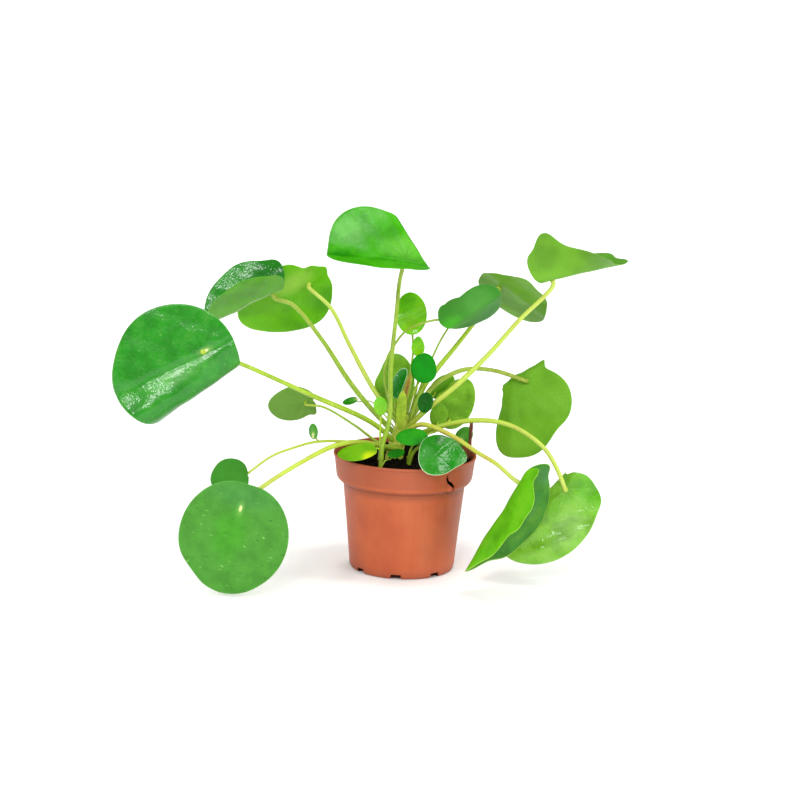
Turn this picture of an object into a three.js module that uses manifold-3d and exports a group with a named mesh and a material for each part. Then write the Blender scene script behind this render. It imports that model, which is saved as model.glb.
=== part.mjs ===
// A potted Chinese money plant (Pilea peperomioides) in a thin plastic grower's pot.
// Millimetres, +Z up. The origin is the middle of the pot's underside, on the surface it stands on.
// The plant is seen from -Y: +X is its right side, and +Y is behind it.

import * as THREE from 'three';
import { mergeVertices } from 'three/addons/utils/BufferGeometryUtils.js';
import Module from 'manifold-3d';

const wasm = await Module();
wasm.setup();

// Driving dimensions of the pot, a 12 cm grower's pot
const rimRadius = 60;
const potHeight = 98;
const baseRadius = 44;
const bodyTopRadius = 51.4;
const bodyTopHeight = 74;
const collarFootRadius = 57.2;
const collarFootHeight = 79.5;
const lipHeight = 2.6;
const wall = 1.5;
const footRound = 2;
const potSegments = 48;

// Drain notches in the foot, and the tear in the collar
const notchCount = 8;
const notchWidth = 9.5;
const notchHeight = 4.2;
const notchDepth = 9;
const notchOffset = -6;
const tearAzimuth = -49;
const tearReach = 24;
const tearEdge = [
  [4.4, 73], [3.4, 80.5], [1.8, 83], [-1, 85.5], [-2.6, 88.5], [-3.6, 92],
  [-4.8, 88.5], [-3.6, 85], [-0.8, 82.3], [0.8, 79.5], [1.6, 73],
];
const flapSpread = 36;
const flapLift = 2.4;
const dentSpread = 16;
const dentDepth = 1.6;
const stiffTop = 96;
const stiffFade = 14;
const stiffFoot = 4;

// Soil, and the room that touching pieces keep
const soilTop = 93;
const soilRoughness = 1.6;
const soilRings = 5;
const soilSegments = 32;
const gap = 0.3;
const weldDistance = 1e-4;

// Leaves
const bladeThickness = 0.8;
const neckLength = 5;
const bendSteps = 10;
const largeLeaf = 45;
const mediumLeaf = 28;
const thickStalk = 3;
const stalkTaper = 0.84;

// Colours
const terracotta = 0xc9673f;
const soilBrown = 0x17110d;
const stemGreen = 0x8c9a3a;
const stalkLime = 0xa9c43a;
const leafDark = 0x24902a;
const leafMid = 0x4aa53a;
const leafBright = 0x6fb81e;
const leafOlive = 0x6aa03a;
const budBrown = 0x9a6a3c;
const twigBrown = 0x8a5030;

const degrees = Math.PI / 180;

function material(color, roughness) {
  return new THREE.MeshStandardMaterial({ color, roughness, metalness: 0 });
}

// A closed solid from a geometry whose corners are shared.
function solidOf(geometry) {
  const bare = geometry.clone();
  bare.deleteAttribute('normal');
  bare.deleteAttribute('uv');
  const merged = mergeVertices(bare, weldDistance);
  return new wasm.Manifold(new wasm.Mesh({
    numProp: 3,
    vertProperties: new Float32Array(merged.attributes.position.array),
    triVerts: new Uint32Array(merged.index.array),
  }));
}

function geometryOf(solid) {
  const mesh = solid.getMesh();
  const geometry = new THREE.BufferGeometry();
  geometry.setAttribute('position', new THREE.BufferAttribute(new Float32Array(mesh.vertProperties), 3));
  geometry.setIndex(new THREE.BufferAttribute(new Uint32Array(mesh.triVerts), 1));
  return geometry;
}

// The largest of the bodies that a cut leaves.
function largest(solid) {
  return solid.decompose().reduce((best, body) => (body.volume() > best.volume() ? body : best));
}

function geometryFrom(points, faces) {
  const geometry = new THREE.BufferGeometry();
  geometry.setAttribute('position', new THREE.Float32BufferAttribute(points.flat(), 3));
  geometry.setIndex(faces.flat());
  return geometry;
}

const model = new THREE.Group();

function place(name, geometry, finish) {
  const mesh = new THREE.Mesh(geometry, finish);
  mesh.name = name;
  model.add(mesh);
  return mesh;
}

// The pot: a turned wall with a stepped collar and a lip
function potOutline() {
  const lipFoot = potHeight - lipHeight;
  const collarTop = rimRadius - 0.9;
  return [
    [0, 0],
    [baseRadius - footRound, 0],
    [baseRadius - footRound * 0.3, footRound * 0.3],
    [baseRadius + 0.2, footRound],
    [baseRadius + 3.6, 38],
    [bodyTopRadius, bodyTopHeight],
    [bodyTopRadius + 3.2, bodyTopHeight + 1.2],
    [collarFootRadius - 0.6, collarFootHeight - 2],
    [collarFootRadius, collarFootHeight],
    [collarTop, lipFoot],
    [rimRadius, lipFoot + 0.6],
    [rimRadius, potHeight - 0.5],
    [rimRadius - 0.5, potHeight],
    [rimRadius - wall, potHeight],
    [collarTop - wall, lipFoot],
    [collarFootRadius - wall, collarFootHeight],
    [bodyTopRadius - wall + 0.6, bodyTopHeight + 2.4],
    [bodyTopRadius - wall, bodyTopHeight],
    [baseRadius - wall, footRound + 1],
    [baseRadius - wall - 1.5, wall + 0.2],
    [0, wall + 0.2],
  ];
}

// The collar stands out right of the tear and is pushed in left of it.
function bendCollar(geometry) {
  const position = geometry.attributes.position;
  for (let i = 0; i < position.count; i += 1) {
    const x = position.getX(i);
    const y = position.getY(i);
    const z = position.getZ(i);
    const azimuth = Math.atan2(y, x) / degrees - tearAzimuth;
    const underLip = THREE.MathUtils.smoothstep(stiffTop - z, 0, stiffFade);
    const overBody = THREE.MathUtils.smoothstep(z, bodyTopHeight, bodyTopHeight + stiffFoot);
    let shift = 0;
    if (azimuth >= 0 && azimuth < flapSpread) shift = flapLift * (1 - azimuth / flapSpread);
    if (azimuth < 0 && azimuth > -dentSpread) shift = -dentDepth * (1 + azimuth / dentSpread);
    const scale = 1 + (shift * underLip * overBody) / Math.max(1, Math.hypot(x, y));
    position.setXYZ(i, x * scale, y * scale, z);
  }
}

// A hooked split through the collar, drawn on the collar's unrolled face
function tearCutter() {
  const split = new THREE.Shape(tearEdge.map(([x, z]) => new THREE.Vector2(x, z)));
  const cutter = new THREE.ExtrudeGeometry(split, { depth: tearReach, bevelEnabled: false });
  cutter.rotateX(Math.PI / 2);
  cutter.translate(0, -collarFootRadius + tearReach / 2, 0);
  cutter.rotateZ((tearAzimuth + 90) * degrees);
  return solidOf(cutter);
}

function pot() {
  const outline = potOutline().map(([r, z]) => new THREE.Vector2(r, z));
  const turned = new THREE.LatheGeometry(outline, potSegments);
  turned.rotateX(Math.PI / 2);
  bendCollar(turned);
  let solid = solidOf(turned);
  for (let i = 0; i < notchCount; i += 1) {
    const notch = new THREE.BoxGeometry(notchDepth, notchWidth, notchHeight * 2);
    notch.translate(baseRadius, 0, 0);
    notch.rotateZ(((i * 360) / notchCount + notchOffset) * degrees);
    solid = solid.subtract(solidOf(notch));
  }
  solid = solid.subtract(tearCutter());
  return largest(solid);
}

// The soil fills the pot to just under its lip, with a lumpy top.
function soilHeight(x, y) {
  const broad = Math.sin(x * 0.31 + 1.3) * Math.cos(y * 0.27 - 0.4);
  const fine = Math.sin(x * 0.67 - y * 0.53 + 2.1);
  return soilTop + soilRoughness * (0.6 * broad + 0.36 * fine);
}

function soilBlock() {
  const sides = [
    [baseRadius - wall - 2.2, wall + 0.2 + gap],
    [baseRadius - wall - gap, footRound + 2],
    [bodyTopRadius - wall - gap, bodyTopHeight],
    [bodyTopRadius - wall - gap - 0.4, bodyTopHeight + 2.8],
    [collarFootRadius - wall - gap - dentDepth - 0.1, collarFootHeight + 1],
    [rimRadius - 0.9 - wall - gap - dentDepth, soilTop - 1.5],
  ];
  const points = [[0, 0, wall + 0.2 + gap]];
  const rings = [];
  const ring = (radius, heightAt) => {
    const first = points.length;
    for (let j = 0; j < soilSegments; j += 1) {
      const angle = (2 * Math.PI * j) / soilSegments;
      const x = radius * Math.cos(angle);
      const y = radius * Math.sin(angle);
      points.push([x, y, heightAt(x, y)]);
    }
    rings.push(first);
  };
  sides.forEach(([radius, z]) => ring(radius, () => z));
  const edge = sides[sides.length - 1][0];
  for (let k = soilRings - 1; k > 0; k -= 1) ring((edge * k) / soilRings, soilHeight);
  points.push([0, 0, soilHeight(0, 0)]);
  const faces = [];
  for (let j = 0; j < soilSegments; j += 1) {
    const next = (j + 1) % soilSegments;
    faces.push([0, rings[0] + next, rings[0] + j]);
    for (let k = 0; k + 1 < rings.length; k += 1) {
      const [a, b] = [rings[k], rings[k + 1]];
      faces.push([a + j, a + next, b + next], [a + j, b + next, b + j]);
    }
    const last = rings[rings.length - 1];
    faces.push([last + j, last + next, points.length - 1]);
  }
  return solidOf(geometryFrom(points, faces));
}

// A closed round tube along a smooth path, whose radius changes along it.
function tube(path, radii, sides, steps) {
  const curve = new THREE.CatmullRomCurve3(path.map((p) => new THREE.Vector3(...p)), false, 'centripetal');
  const frames = curve.computeFrenetFrames(steps, false);
  const points = [];
  for (let i = 0; i <= steps; i += 1) {
    const middle = curve.getPointAt(i / steps);
    const along = (i / steps) * (radii.length - 1);
    const k = Math.min(radii.length - 2, Math.floor(along));
    const radius = THREE.MathUtils.lerp(radii[k], radii[k + 1], along - k);
    for (let j = 0; j < sides; j += 1) {
      const angle = (2 * Math.PI * j) / sides;
      const point = middle.clone()
        .addScaledVector(frames.normals[i], radius * Math.cos(angle))
        .addScaledVector(frames.binormals[i], radius * Math.sin(angle));
      points.push(point.toArray());
    }
  }
  const foot = points.length;
  points.push(curve.getPointAt(0).toArray(), curve.getPointAt(1).toArray());
  const faces = [];
  for (let j = 0; j < sides; j += 1) {
    const next = (j + 1) % sides;
    for (let i = 0; i < steps; i += 1) {
      const [a, b] = [i * sides, (i + 1) * sides];
      faces.push([a + j, a + next, b + next], [a + j, b + next, b + j]);
    }
    faces.push([foot, next, j], [foot + 1, steps * sides + j, steps * sides + next]);
  }
  return solidOf(geometryFrom(points, faces));
}

// How far a strip reaches out and how far it sinks, when its slope at each distance is slopeAt.
function bend(slopeAt, length) {
  const step = length / bendSteps;
  let reach = 0;
  let sink = 0;
  for (let k = 0; k < bendSteps; k += 1) {
    const slope = slopeAt((k + 0.5) * step);
    reach += Math.cos(slope) * step;
    sink += Math.sin(slope) * step;
  }
  return [reach, sink];
}

// How far a side of the blade has turned, d mm from the midline and u mm towards the tip.
function sideTurn({ turn = 0, from = 0, over = 20, slant = 0, grow = 0 }, u, d) {
  const start = Math.max(0, from + slant * u);
  const size = turn * Math.max(0, 1 + grow * Math.max(u, -10));
  return size * degrees * THREE.MathUtils.clamp((d - start) / over, 0, 1);
}

// The bent blade as a function of a point on the flat leaf: u mm towards the tip, v mm to its left.
function bladeSurface(leaf) {
  const tip = new THREE.Vector3(...leaf.tip).normalize();
  const face = new THREE.Vector3(...leaf.face);
  face.addScaledVector(tip, -face.dot(tip)).normalize();
  const left = new THREE.Vector3().crossVectors(face, tip);
  const [tipDroop, baseDroop] = leaf.bow ?? [0, 0];
  const curl = leaf.curl ?? { dir: 0, from: Infinity, over: 1, turn: 0 };
  const curlAngle = curl.dir * degrees;
  const curlWay = tip.clone().multiplyScalar(Math.cos(curlAngle))
    .addScaledVector(left, Math.sin(curlAngle));
  const origin = new THREE.Vector3(...leaf.at);
  return (u, v) => {
    const turn = ((u > 0 ? tipDroop : baseDroop) * degrees) / leaf.long;
    const bow = turn * Math.abs(u);
    const run = Math.abs(turn) > 1e-6 ? Math.sin(bow) / turn : Math.abs(u);
    const drop = Math.abs(turn) > 1e-6 ? (1 - Math.cos(bow)) / turn : 0;
    const side = (v > 0 ? leaf.left : leaf.right) ?? {};
    const [reach, sink] = bend((d) => sideTurn(side, u, d), Math.abs(v));
    const past = u * Math.cos(curlAngle) + v * Math.sin(curlAngle) - curl.from;
    const curlSlope = (d) => curl.turn * degrees * Math.min(1, d / curl.over);
    const [out, down] = past > 0 ? bend(curlSlope, past) : [0, 0];
    const pull = past > 0 ? out - past : 0;
    return origin.clone()
      .addScaledVector(tip, Math.sign(u) * (run - sink * Math.sin(bow)))
      .addScaledVector(face, -drop - sink * Math.cos(bow) - down)
      .addScaledVector(left, Math.sign(v) * reach)
      .addScaledVector(curlWay, pull);
  };
}

// Distance from the stalk's joint to the leaf's edge: a round leaf with a slight tip.
function edgeDistance(leaf, angle) {
  const a = leaf.long / 2;
  const b = leaf.wide / 2;
  const ahead = (0.5 - leaf.joint) * leaf.long;
  const c = Math.cos(angle);
  const s = Math.sin(angle);
  const p = (c * c) / (a * a) + (s * s) / (b * b);
  const q = (ahead * c) / (a * a);
  const edge = (q + Math.sqrt(q * q - p * ((ahead * ahead) / (a * a) - 1))) / p;
  const point = (leaf.point ?? 0.02) * Math.max(0, c) ** 24;
  const shaped = (leaf.rim ?? []).reduce((sum, [at, share, spread]) => {
    const away = (((angle / degrees - at) % 360) + 540) % 360 - 180;
    return sum + share * Math.exp(-((away / spread) ** 2));
  }, 0);
  return edge * (1 + point + shaped);
}

function normalAt(surface, u, v) {
  const e = 0.05;
  const du = surface(u + e, v).sub(surface(u - e, v));
  const dv = surface(u, v + e).sub(surface(u, v - e));
  return du.cross(dv).normalize();
}

// A blade: two faces with the same triangles, joined round the edge.
function blade(leaf) {
  const surface = bladeSurface(leaf);
  const large = leaf.long > largeLeaf;
  const small = leaf.long <= mediumLeaf;
  const sectors = large ? 24 : (small ? 12 : 16);
  const rings = large ? [0.2, 0.45, 0.74, 1] : [0.4, 0.75, 1];
  const half = bladeThickness / 2;
  const flatPoints = [[0, 0]];
  rings.forEach((share) => {
    for (let j = 0; j < sectors; j += 1) {
      const angle = (2 * Math.PI * j) / sectors;
      const distance = share * edgeDistance(leaf, angle);
      flatPoints.push([distance * Math.cos(angle), distance * Math.sin(angle)]);
    }
  });
  const upper = [];
  const lower = [];
  flatPoints.forEach(([u, v]) => {
    const point = surface(u, v);
    const normal = normalAt(surface, u, v);
    upper.push(point.clone().addScaledVector(normal, half).toArray());
    lower.push(point.clone().addScaledVector(normal, -half).toArray());
  });
  const count = upper.length;
  const faces = [];
  const both = (a, b, c) => faces.push([a, b, c], [count + a, count + c, count + b]);
  for (let j = 0; j < sectors; j += 1) {
    const next = (j + 1) % sectors;
    both(0, 1 + j, 1 + next);
    for (let k = 0; k + 1 < rings.length; k += 1) {
      const [a, b] = [1 + k * sectors, 1 + (k + 1) * sectors];
      both(a + j, b + j, b + next);
      both(a + j, b + next, a + next);
    }
    const edge = 1 + (rings.length - 1) * sectors;
    const [near, far] = [edge + j, edge + next];
    faces.push([near, count + near, count + far], [near, count + far, far]);
  }
  return solidOf(geometryFrom([...upper, ...lower], faces));
}

// A leaf stalk runs from its root to the blade's underside, which it meets square on.
function stalkPath(leaf) {
  const surface = bladeSurface(leaf);
  const normal = normalAt(surface, 0, 0);
  const joint = surface(0, 0);
  const end = joint.clone().addScaledVector(normal, leaf.fused ? 0 : -(bladeThickness / 2 + gap));
  const neck = joint.clone().addScaledVector(normal, leaf.fused ? -neckLength / 2 : -neckLength);
  return [...leaf.stalk, neck.toArray(), end.toArray()];
}

function stalk(leaf, extra = 0) {
  const root = leaf.thick / 2 + extra;
  const top = (leaf.thick / 2) * stalkTaper + extra;
  const large = leaf.thick > thickStalk;
  return tube(stalkPath(leaf), [root, root, top, top], large ? 6 : 5, large ? 12 : 9);
}

// The leaves. at: where the stalk joins the blade; tip: the way the tip points; face: the way the
// upper side looks; joint: share of the length from the base to the joint; left and right: how a side
// bends, as degrees away from the face, the mm from the midline where it starts and that it takes, its
// slant and its growth towards the tip; curl: the same for a part of the rim beyond a slanting line;
// rim: where the edge runs out or draws in, as an angle, a share and a spread; bow: degrees that the tip
// and the base bend away from the face; stalk: its route from the root; fused: one piece with its stalk.
const leaves = [
  {
    name: 'far_left', at: [-161, -90, 195], tip: [-0.88, 0, -0.47], face: [0.05, -1, 0.25],
    long: 103, wide: 96, joint: 0.25, left: { turn: 115, from: 6, over: 30, slant: 0.2 },
    rim: [[-25, -0.04, 22]],
    color: leafDark, thick: 4.2,
    stalk: [[-7, -2, 106], [-28, -7, 124], [-78, -32, 151], [-138, -68, 184]],
  },
  {
    name: 'folded_left', at: [-116, 35, 224], tip: [-0.87, -0.1, -0.45], face: [0, 0, 1],
    long: 76, wide: 82, joint: 0.2, left: { turn: -42, over: 8 }, right: { turn: -66, over: 8 },
    rim: [[175, -0.62, 36], [236, 0.46, 22], [118, 0.3, 18], [-50, -0.08, 22]],
    color: leafDark, thick: 4.4,
    stalk: [[-6, 3, 110], [-33, 10, 136], [-50, 14, 156], [-72, 24, 186], [-99, 34, 215]],
  },
  {
    name: 'bright_left', at: [-87.5, 75, 227], tip: [-0.82, 0.25, -0.56], face: [0, 0.84, 0.54],
    long: 87, wide: 82, joint: 0.21,
    rim: [[70, -0.26, 35], [112, -0.3, 22], [168, 0.21, 12], [250, -0.1, 35], [322, -0.07, 22],
      [0, 0.06, 12]],
    color: leafBright, thick: 4,
    stalk: [[-4, 6, 118], [-28, 18, 147], [-50, 38, 181], [-68, 62, 209]],
  },
  {
    name: 'low_left', at: [-127.5, -112, 77], tip: [-0.22, -0.02, -1], face: [0.05, -1, 0.05],
    long: 94, wide: 86, joint: 0.225, bow: [10, 20],
    rim: [[175, -0.13, 45], [-24, -0.035, 12]],
    color: leafMid, thick: 4.2,
    stalk: [[-8, -6, 102], [-36, -24, 111], [-56, -45, 113], [-81, -74, 106], [-112, -100, 90]],
  },
  {
    name: 'behind_low_left', at: [-128, -68, 91], tip: [-0.9, -0.3, -0.05], face: [-0.3, -0.9, 0.3],
    long: 34, wide: 30, joint: 0.14,
    rim: [[-15, -0.06, 20], [180, -0.66, 48], [120, -0.25, 25], [-120, -0.25, 25]],
    color: leafDark, thick: 2.4,
    stalk: [[-9, 0, 98], [-44, -12, 108], [-72, -26, 111], [-91, -42, 109], [-109, -56, 104]],
  },
  {
    name: 'upper_dark', at: [35, -8, 215], tip: [0.8, 0.35, 0.5], face: [-0.1, -0.75, 0.65],
    long: 57, wide: 46, joint: 0.2, right: { turn: 95, over: 8 },
    rim: [[60, -0.42, 30], [36, -0.18, 14], [125, -0.1, 40], [-120, -0.3, 40], [-40, 0.5, 20]],
    color: leafDark, thick: 2.2,
    stalk: [[-2, 3, 118], [-14, 10, 138], [-19, 12, 157], [-18, 12, 174], [-12, 10, 187], [-3, 6, 200],
      [10, 0, 208], [23, -3, 212]],
  },
  {
    name: 'hidden_upper', at: [36, 30, 211], tip: [0.7, 0.3, 0.5], face: [-0.1, -0.6, 0.75],
    long: 30, wide: 28, joint: 0.3, color: leafMid, thick: 2,
    stalk: [[1, 8, 124], [9, 14, 145], [21, 22, 177], [27, 26, 190]],
  },
  {
    name: 'behind_upper', at: [76, 56, 232], tip: [0.75, 0.1, -0.55], face: [0.5, 0.5, 0.7],
    long: 68, wide: 62, joint: 0.3,
    rim: [[-84, 0.46, 14], [-58, 0.28, 20], [-8, -0.03, 14], [35, 0.06, 25], [160, -0.1, 30]],
    color: leafOlive, thick: 4.4,
    stalk: [[0, 6, 120], [16, 18, 155], [25, 24, 166], [41, 34, 185], [53, 42, 200]],
  },
  {
    name: 'small_bright', at: [2.2, 22, 203.4], tip: [-0.1, 0.2, 1], face: [0, -1, 0.1],
    long: 35, wide: 26, joint: 0.25, color: leafBright, thick: 2.2,
    stalk: [[-1, 8, 126], [2, 20, 160], [4, 26, 180], [3, 27, 194]],
  },
  {
    name: 'right', at: [102, 44, 154], tip: [0, -0.2, -0.97], face: [0.3, 0.95, -0.1],
    long: 78, wide: 76, joint: 0.18, curl: { dir: 147, from: 3.5, over: 8, turn: -95 },
    rim: [[60, -0.46, 24], [80, -0.12, 8], [40, -0.15, 10], [18, 0.08, 12], [215, 0.46, 13],
      [270, 0.17, 28], [-33, -0.12, 17]],
    color: leafOlive, thick: 4.2,
    stalk: [[0, 5, 118], [19, 14, 149], [28, 18, 157], [48, 28, 165], [74, 38, 163]],
  },
  {
    name: 'top_right', at: [118, 22, 245], tip: [0.97, 0, 0.27], face: [0, -0.2, 0.98],
    long: 87, wide: 82, joint: 0.24, right: { turn: -97, over: 10, grow: -0.013 },
    rim: [[-90, 0.33, 14], [-60, -0.14, 22], [-118, 0.15, 14], [-130, 0.12, 18], [180, -0.58, 38],
      [14, -0.1, 10], [-16, -0.16, 12]],
    color: leafOlive, thick: 4.4,
    stalk: [[-2, 0, 116], [17, -2, 136], [41, 0, 157], [67, 6, 183], [91, 12, 211]],
  },
  {
    name: 'folded_right', at: [92, -76, 94], tip: [-0.48, 0, -0.88], face: [0.81, -0.29, -0.5],
    long: 104, wide: 82, joint: 0.21, left: { turn: -42, over: 8 }, right: { turn: -50, over: 8 },
    rim: [[180, -0.62, 26], [140, 0.3, 16], [92, 0.1, 30], [218, 0.22, 14], [-58, -0.2, 20],
      [-33, -0.24, 14], [-112, -0.27, 30], [62, 0.07, 30], [14, -0.1, 10], [-12, -0.14, 10]],
    point: 0.09, color: leafBright, thick: 4,
    stalk: [[-5, -4, 112], [12, -16, 126], [36, -33, 122], [59, -52, 112], [74, -65, 106]],
  },
  {
    name: 'low_right', at: [132, -44, 82], tip: [-0.66, 0, -0.75], face: [0.1, 0.95, -0.1],
    long: 95, wide: 80, joint: 0.23, left: { turn: -95, over: 14 },
    rim: [[-118, 0.12, 18], [165, -0.22, 25], [132, -0.42, 24]],
    color: leafBright, thick: 4.2,
    stalk: [[-3, -1, 108], [28, -8, 123], [59, -20, 132], [86, -32, 131], [112, -46, 117], [124, -54, 100]],
  },
  {
    name: 'inner_right', at: [37, 33, 120], tip: [0.25, 0.1, 0.95], face: [0.1, 0.95, 0.2],
    long: 48, wide: 33, joint: 0.16, rim: [[-3, -0.11, 12], [-25, -0.2, 14], [-100, 0.2, 20]],
    color: leafOlive, thick: 2.6,
    stalk: [[-4, 4, 104], [8, 12, 110], [26, 24, 112]],
  },
  {
    name: 'small_left', at: [-86.8, 52, 128.2], tip: [-1, 0.1, -0.15], face: [0, 0.93, 0.36],
    long: 42, wide: 33, joint: 0.22,
    rim: [[180, -0.3, 20], [28, -0.1, 28], [-42, 0.13, 34], [-115, 0.35, 16]],
    color: leafOlive, thick: 2.4,
    stalk: [[-8, 6, 98], [-25, 26, 101], [-44, 36, 112], [-72, 46, 125]],
  },
  {
    name: 'inner_dark', at: [14, 0, 168], tip: [-0.1, 0, 1], face: [0.05, -1, 0.1],
    long: 25, wide: 22.5, joint: 0.4, rim: [[-72, -0.14, 40]], color: leafDark, thick: 2.2,
    stalk: [[-1, 4, 124], [6, 6, 150], [11, 8, 160]],
  },
  {
    name: 'inner_back', at: [-10, 30, 134], tip: [-0.05, 0.05, 1], face: [0, 0.95, 0.2],
    long: 56, wide: 34, joint: 0.2, rim: [[0, -0.07, 20], [-24, -0.14, 15]],
    color: leafOlive, thick: 2.4,
    stalk: [[-5, 6, 106], [-8, 14, 118], [-10, 22, 126]],
  },
  {
    name: 'bud_upper', at: [8, 16, 179], tip: [0, 0.1, 1], face: [0, -1, 0.1], fused: true,
    long: 14, wide: 11, joint: 0.1, point: 0.2, color: leafBright, thick: 1.8,
    stalk: [[2, 8, 126], [8, 16, 150], [9, 18, 168]],
  },
  {
    name: 'inner_right_low', at: [27, 25, 119], tip: [0.1, 0.1, 1], face: [0, 0.95, 0.2], fused: true,
    long: 20, wide: 15, joint: 0.2, color: leafOlive, thick: 1.8,
    stalk: [[0, 0, 106], [14, 6, 110], [23, 16, 114]],
  },
  {
    name: 'inner_right_high', at: [24, 44, 141], tip: [0.7, 0, 0.7], face: [0, 0.95, 0.2], fused: true,
    long: 26, wide: 16, joint: 0.2, color: leafOlive, thick: 1.8,
    stalk: [[-4, 4, 112], [2, 14, 117], [10, 25, 125], [19, 37, 135]],
  },
  {
    name: 'inner_folded', at: [-9, 0, 147], tip: [0.3, 0, 0.95], face: [-0.5, -0.8, 0], fused: true,
    long: 26, wide: 14, joint: 0.1, left: { turn: -50, over: 4 }, right: { turn: -50, over: 4 },
    color: leafDark, thick: 1.8,
    stalk: [[-3, 3, 124], [-7, 4, 136]],
  },
  {
    name: 'inner_small_dark', at: [16, -8, 149], tip: [-0.1, 0, -1], face: [0.2, -0.95, 0.1], fused: true,
    long: 17, wide: 13, joint: 0.15, color: leafDark, thick: 1.8,
    stalk: [[3, 1, 124], [8, -2, 140], [13, -4, 147]],
  },
  {
    name: 'thin_left', at: [-43, 34, 135], tip: [-1, 0, -0.3], face: [0, -0.4, 0.9], fused: true,
    long: 13, wide: 10, joint: 0.1, color: leafDark, thick: 1.3,
    stalk: [[-5, 4, 112], [-20, 16, 128], [-31, 28, 135]],
  },
  {
    name: 'behind_right', at: [46, 32, 101], tip: [0.6, 0, 0.8], face: [0, -0.9, 0.4], fused: true,
    long: 18, wide: 14, joint: 0.15, color: leafMid, thick: 1.8,
    stalk: [[38, 30, 84], [41, 31, 94]],
  },
  {
    name: 'bud_left', at: [-76, -29, 115], tip: [0, -0.1, 1], face: [-0.5, -0.8, 0.1], fused: true,
    long: 13, wide: 9, joint: 0.1, color: leafMid, thick: 1.4,
    stalk: [[-72, -26, 111], [-73, -27, 113]],
  },
];

// Young shoots that come up beside the main stem, each with leaves of its own.
const shoots = [
  {
    name: 'front_left', thick: 3.4, stem: [[-20, -38, 78], [-20, -38, 92], [-20, -37, 108]],
    leaves: [
      {
        name: 'top', at: [-5, -24, 265], tip: [-0.97, 0, 0.13], face: [0, -0.9, 0.3],
        long: 86, wide: 82, joint: 0.25, left: { turn: -68, over: 5 },
        curl: { dir: 220, from: 5.5, over: 12, turn: 95 },
        rim: [[-63, -0.14, 15], [-78, -0.08, 9], [-27, 0.05, 16], [0, -0.04, 12], [85, -0.1, 30],
          [150, 0.05, 25]],
        color: leafMid, thick: 4,
        stalk: [[-20, -37, 100], [-19, -37, 112], [-14, -35, 133], [-14, -27, 176], [-11, -15, 217],
          [-9, -9, 245]],
      },
      {
        name: 'rim_left', at: [-27, -42, 110], tip: [-1, -0.25, -0.2], face: [0, -0.5, 0.85],
        long: 35, wide: 19, joint: 0.15, rim: [[8, -0.07, 14], [180, -0.5, 50]],
        color: leafBright, thick: 1.6,
        stalk: [[-20, -37, 107], [-23, -39, 110]],
      },
      {
        name: 'shoot_left', at: [-21, -34, 139], tip: [-0.1, 0, 1], face: [-0.1, -0.9, 0.4],
        long: 15, wide: 11, joint: 0.15, color: leafMid, thick: 1.8,
        stalk: [[-20, -37, 106], [-21, -35, 120], [-21, -33, 132]],
      },
      {
        name: 'soil_level', at: [-13, -31, 103], tip: [1, 0.2, 0.2], face: [0, -0.6, 0.8],
        long: 14, wide: 9, joint: 0.1, color: leafMid, thick: 1.6,
        stalk: [[-20, -38, 92], [-17, -35, 98]],
      },
    ],
  },
  {
    name: 'front_centre', thick: 3.2, stem: [[3, -22, 78], [3, -22, 92], [3, -22, 100]],
    leaves: [
      {
        name: 'rim_right', at: [39, -41, 116.5], tip: [-0.65, -0.6, -0.45], face: [0.05, -0.7, 0.75],
        long: 42, wide: 42, joint: 0.07,
        rim: [[-30, -0.15, 28], [45, -0.18, 20], [88, 0.3, 18]],
        color: leafDark, thick: 2.8,
        stalk: [[3, -22, 92], [8, -25, 106], [22, -30, 115], [33, -33, 117]],
      },
      {
        name: 'front', at: [9, -30, 119], tip: [-1, -0.2, -0.1], face: [0, -0.6, 0.8],
        long: 26, wide: 18, joint: 0.35, color: leafMid, thick: 2.4,
        stalk: [[3, -22, 92], [4, -24, 104], [6, -25, 110]],
      },
    ],
  },
];

// Papery scales that sheath the stalks' roots.
const scales = [
  {
    name: 'scale_brown', at: [-3, -4.75, 140], tip: [0.2, 0, 1], face: [0, -1, 0],
    long: 26, wide: 6, joint: 0.1, point: 0.2, color: budBrown,
  },
  {
    name: 'scale_yellow', at: [-5, -5.5, 122], tip: [0.05, -0.02, 1], face: [0, -1, 0],
    long: 28, wide: 8, joint: 0.1, point: 0.2, color: stemGreen,
  },
];

const dryStick = [[52.5, 8, 84], [54, 7.5, 100], [55, 7, 127]];
const dryStickRadius = 1.5;

const leafFinish = (color) => material(color, 0.4);

place('pot', geometryOf(pot()), material(terracotta, 0.55));

const stemPath = [[-9, -1, 95], [-5, 2, 114], [-1, 5, 130]];
const stemRadii = [6.5, 7.5, 6.5, 4.5];
const stem = tube([[-10, -2, 68], ...stemPath], stemRadii, 10, 8);
const stemRoom = tube([[-10, -2, 67], ...stemPath], stemRadii.map((r) => r + gap), 10, 8);
place('main_stem', geometryOf(stem), material(stemGreen, 0.6));

let taken = stemRoom;
leaves.forEach((leaf) => {
  const seated = largest(stalk(leaf).subtract(taken));
  taken = taken.add(stalk(leaf, gap));
  if (leaf.fused) {
    place(`leaf_${leaf.name}`, geometryOf(seated.add(blade(leaf))), leafFinish(leaf.color));
    return;
  }
  place(`stalk_${leaf.name}`, geometryOf(seated), leafFinish(stalkLime));
  place(`blade_${leaf.name}`, geometryOf(blade(leaf)), leafFinish(leaf.color));
});

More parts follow.
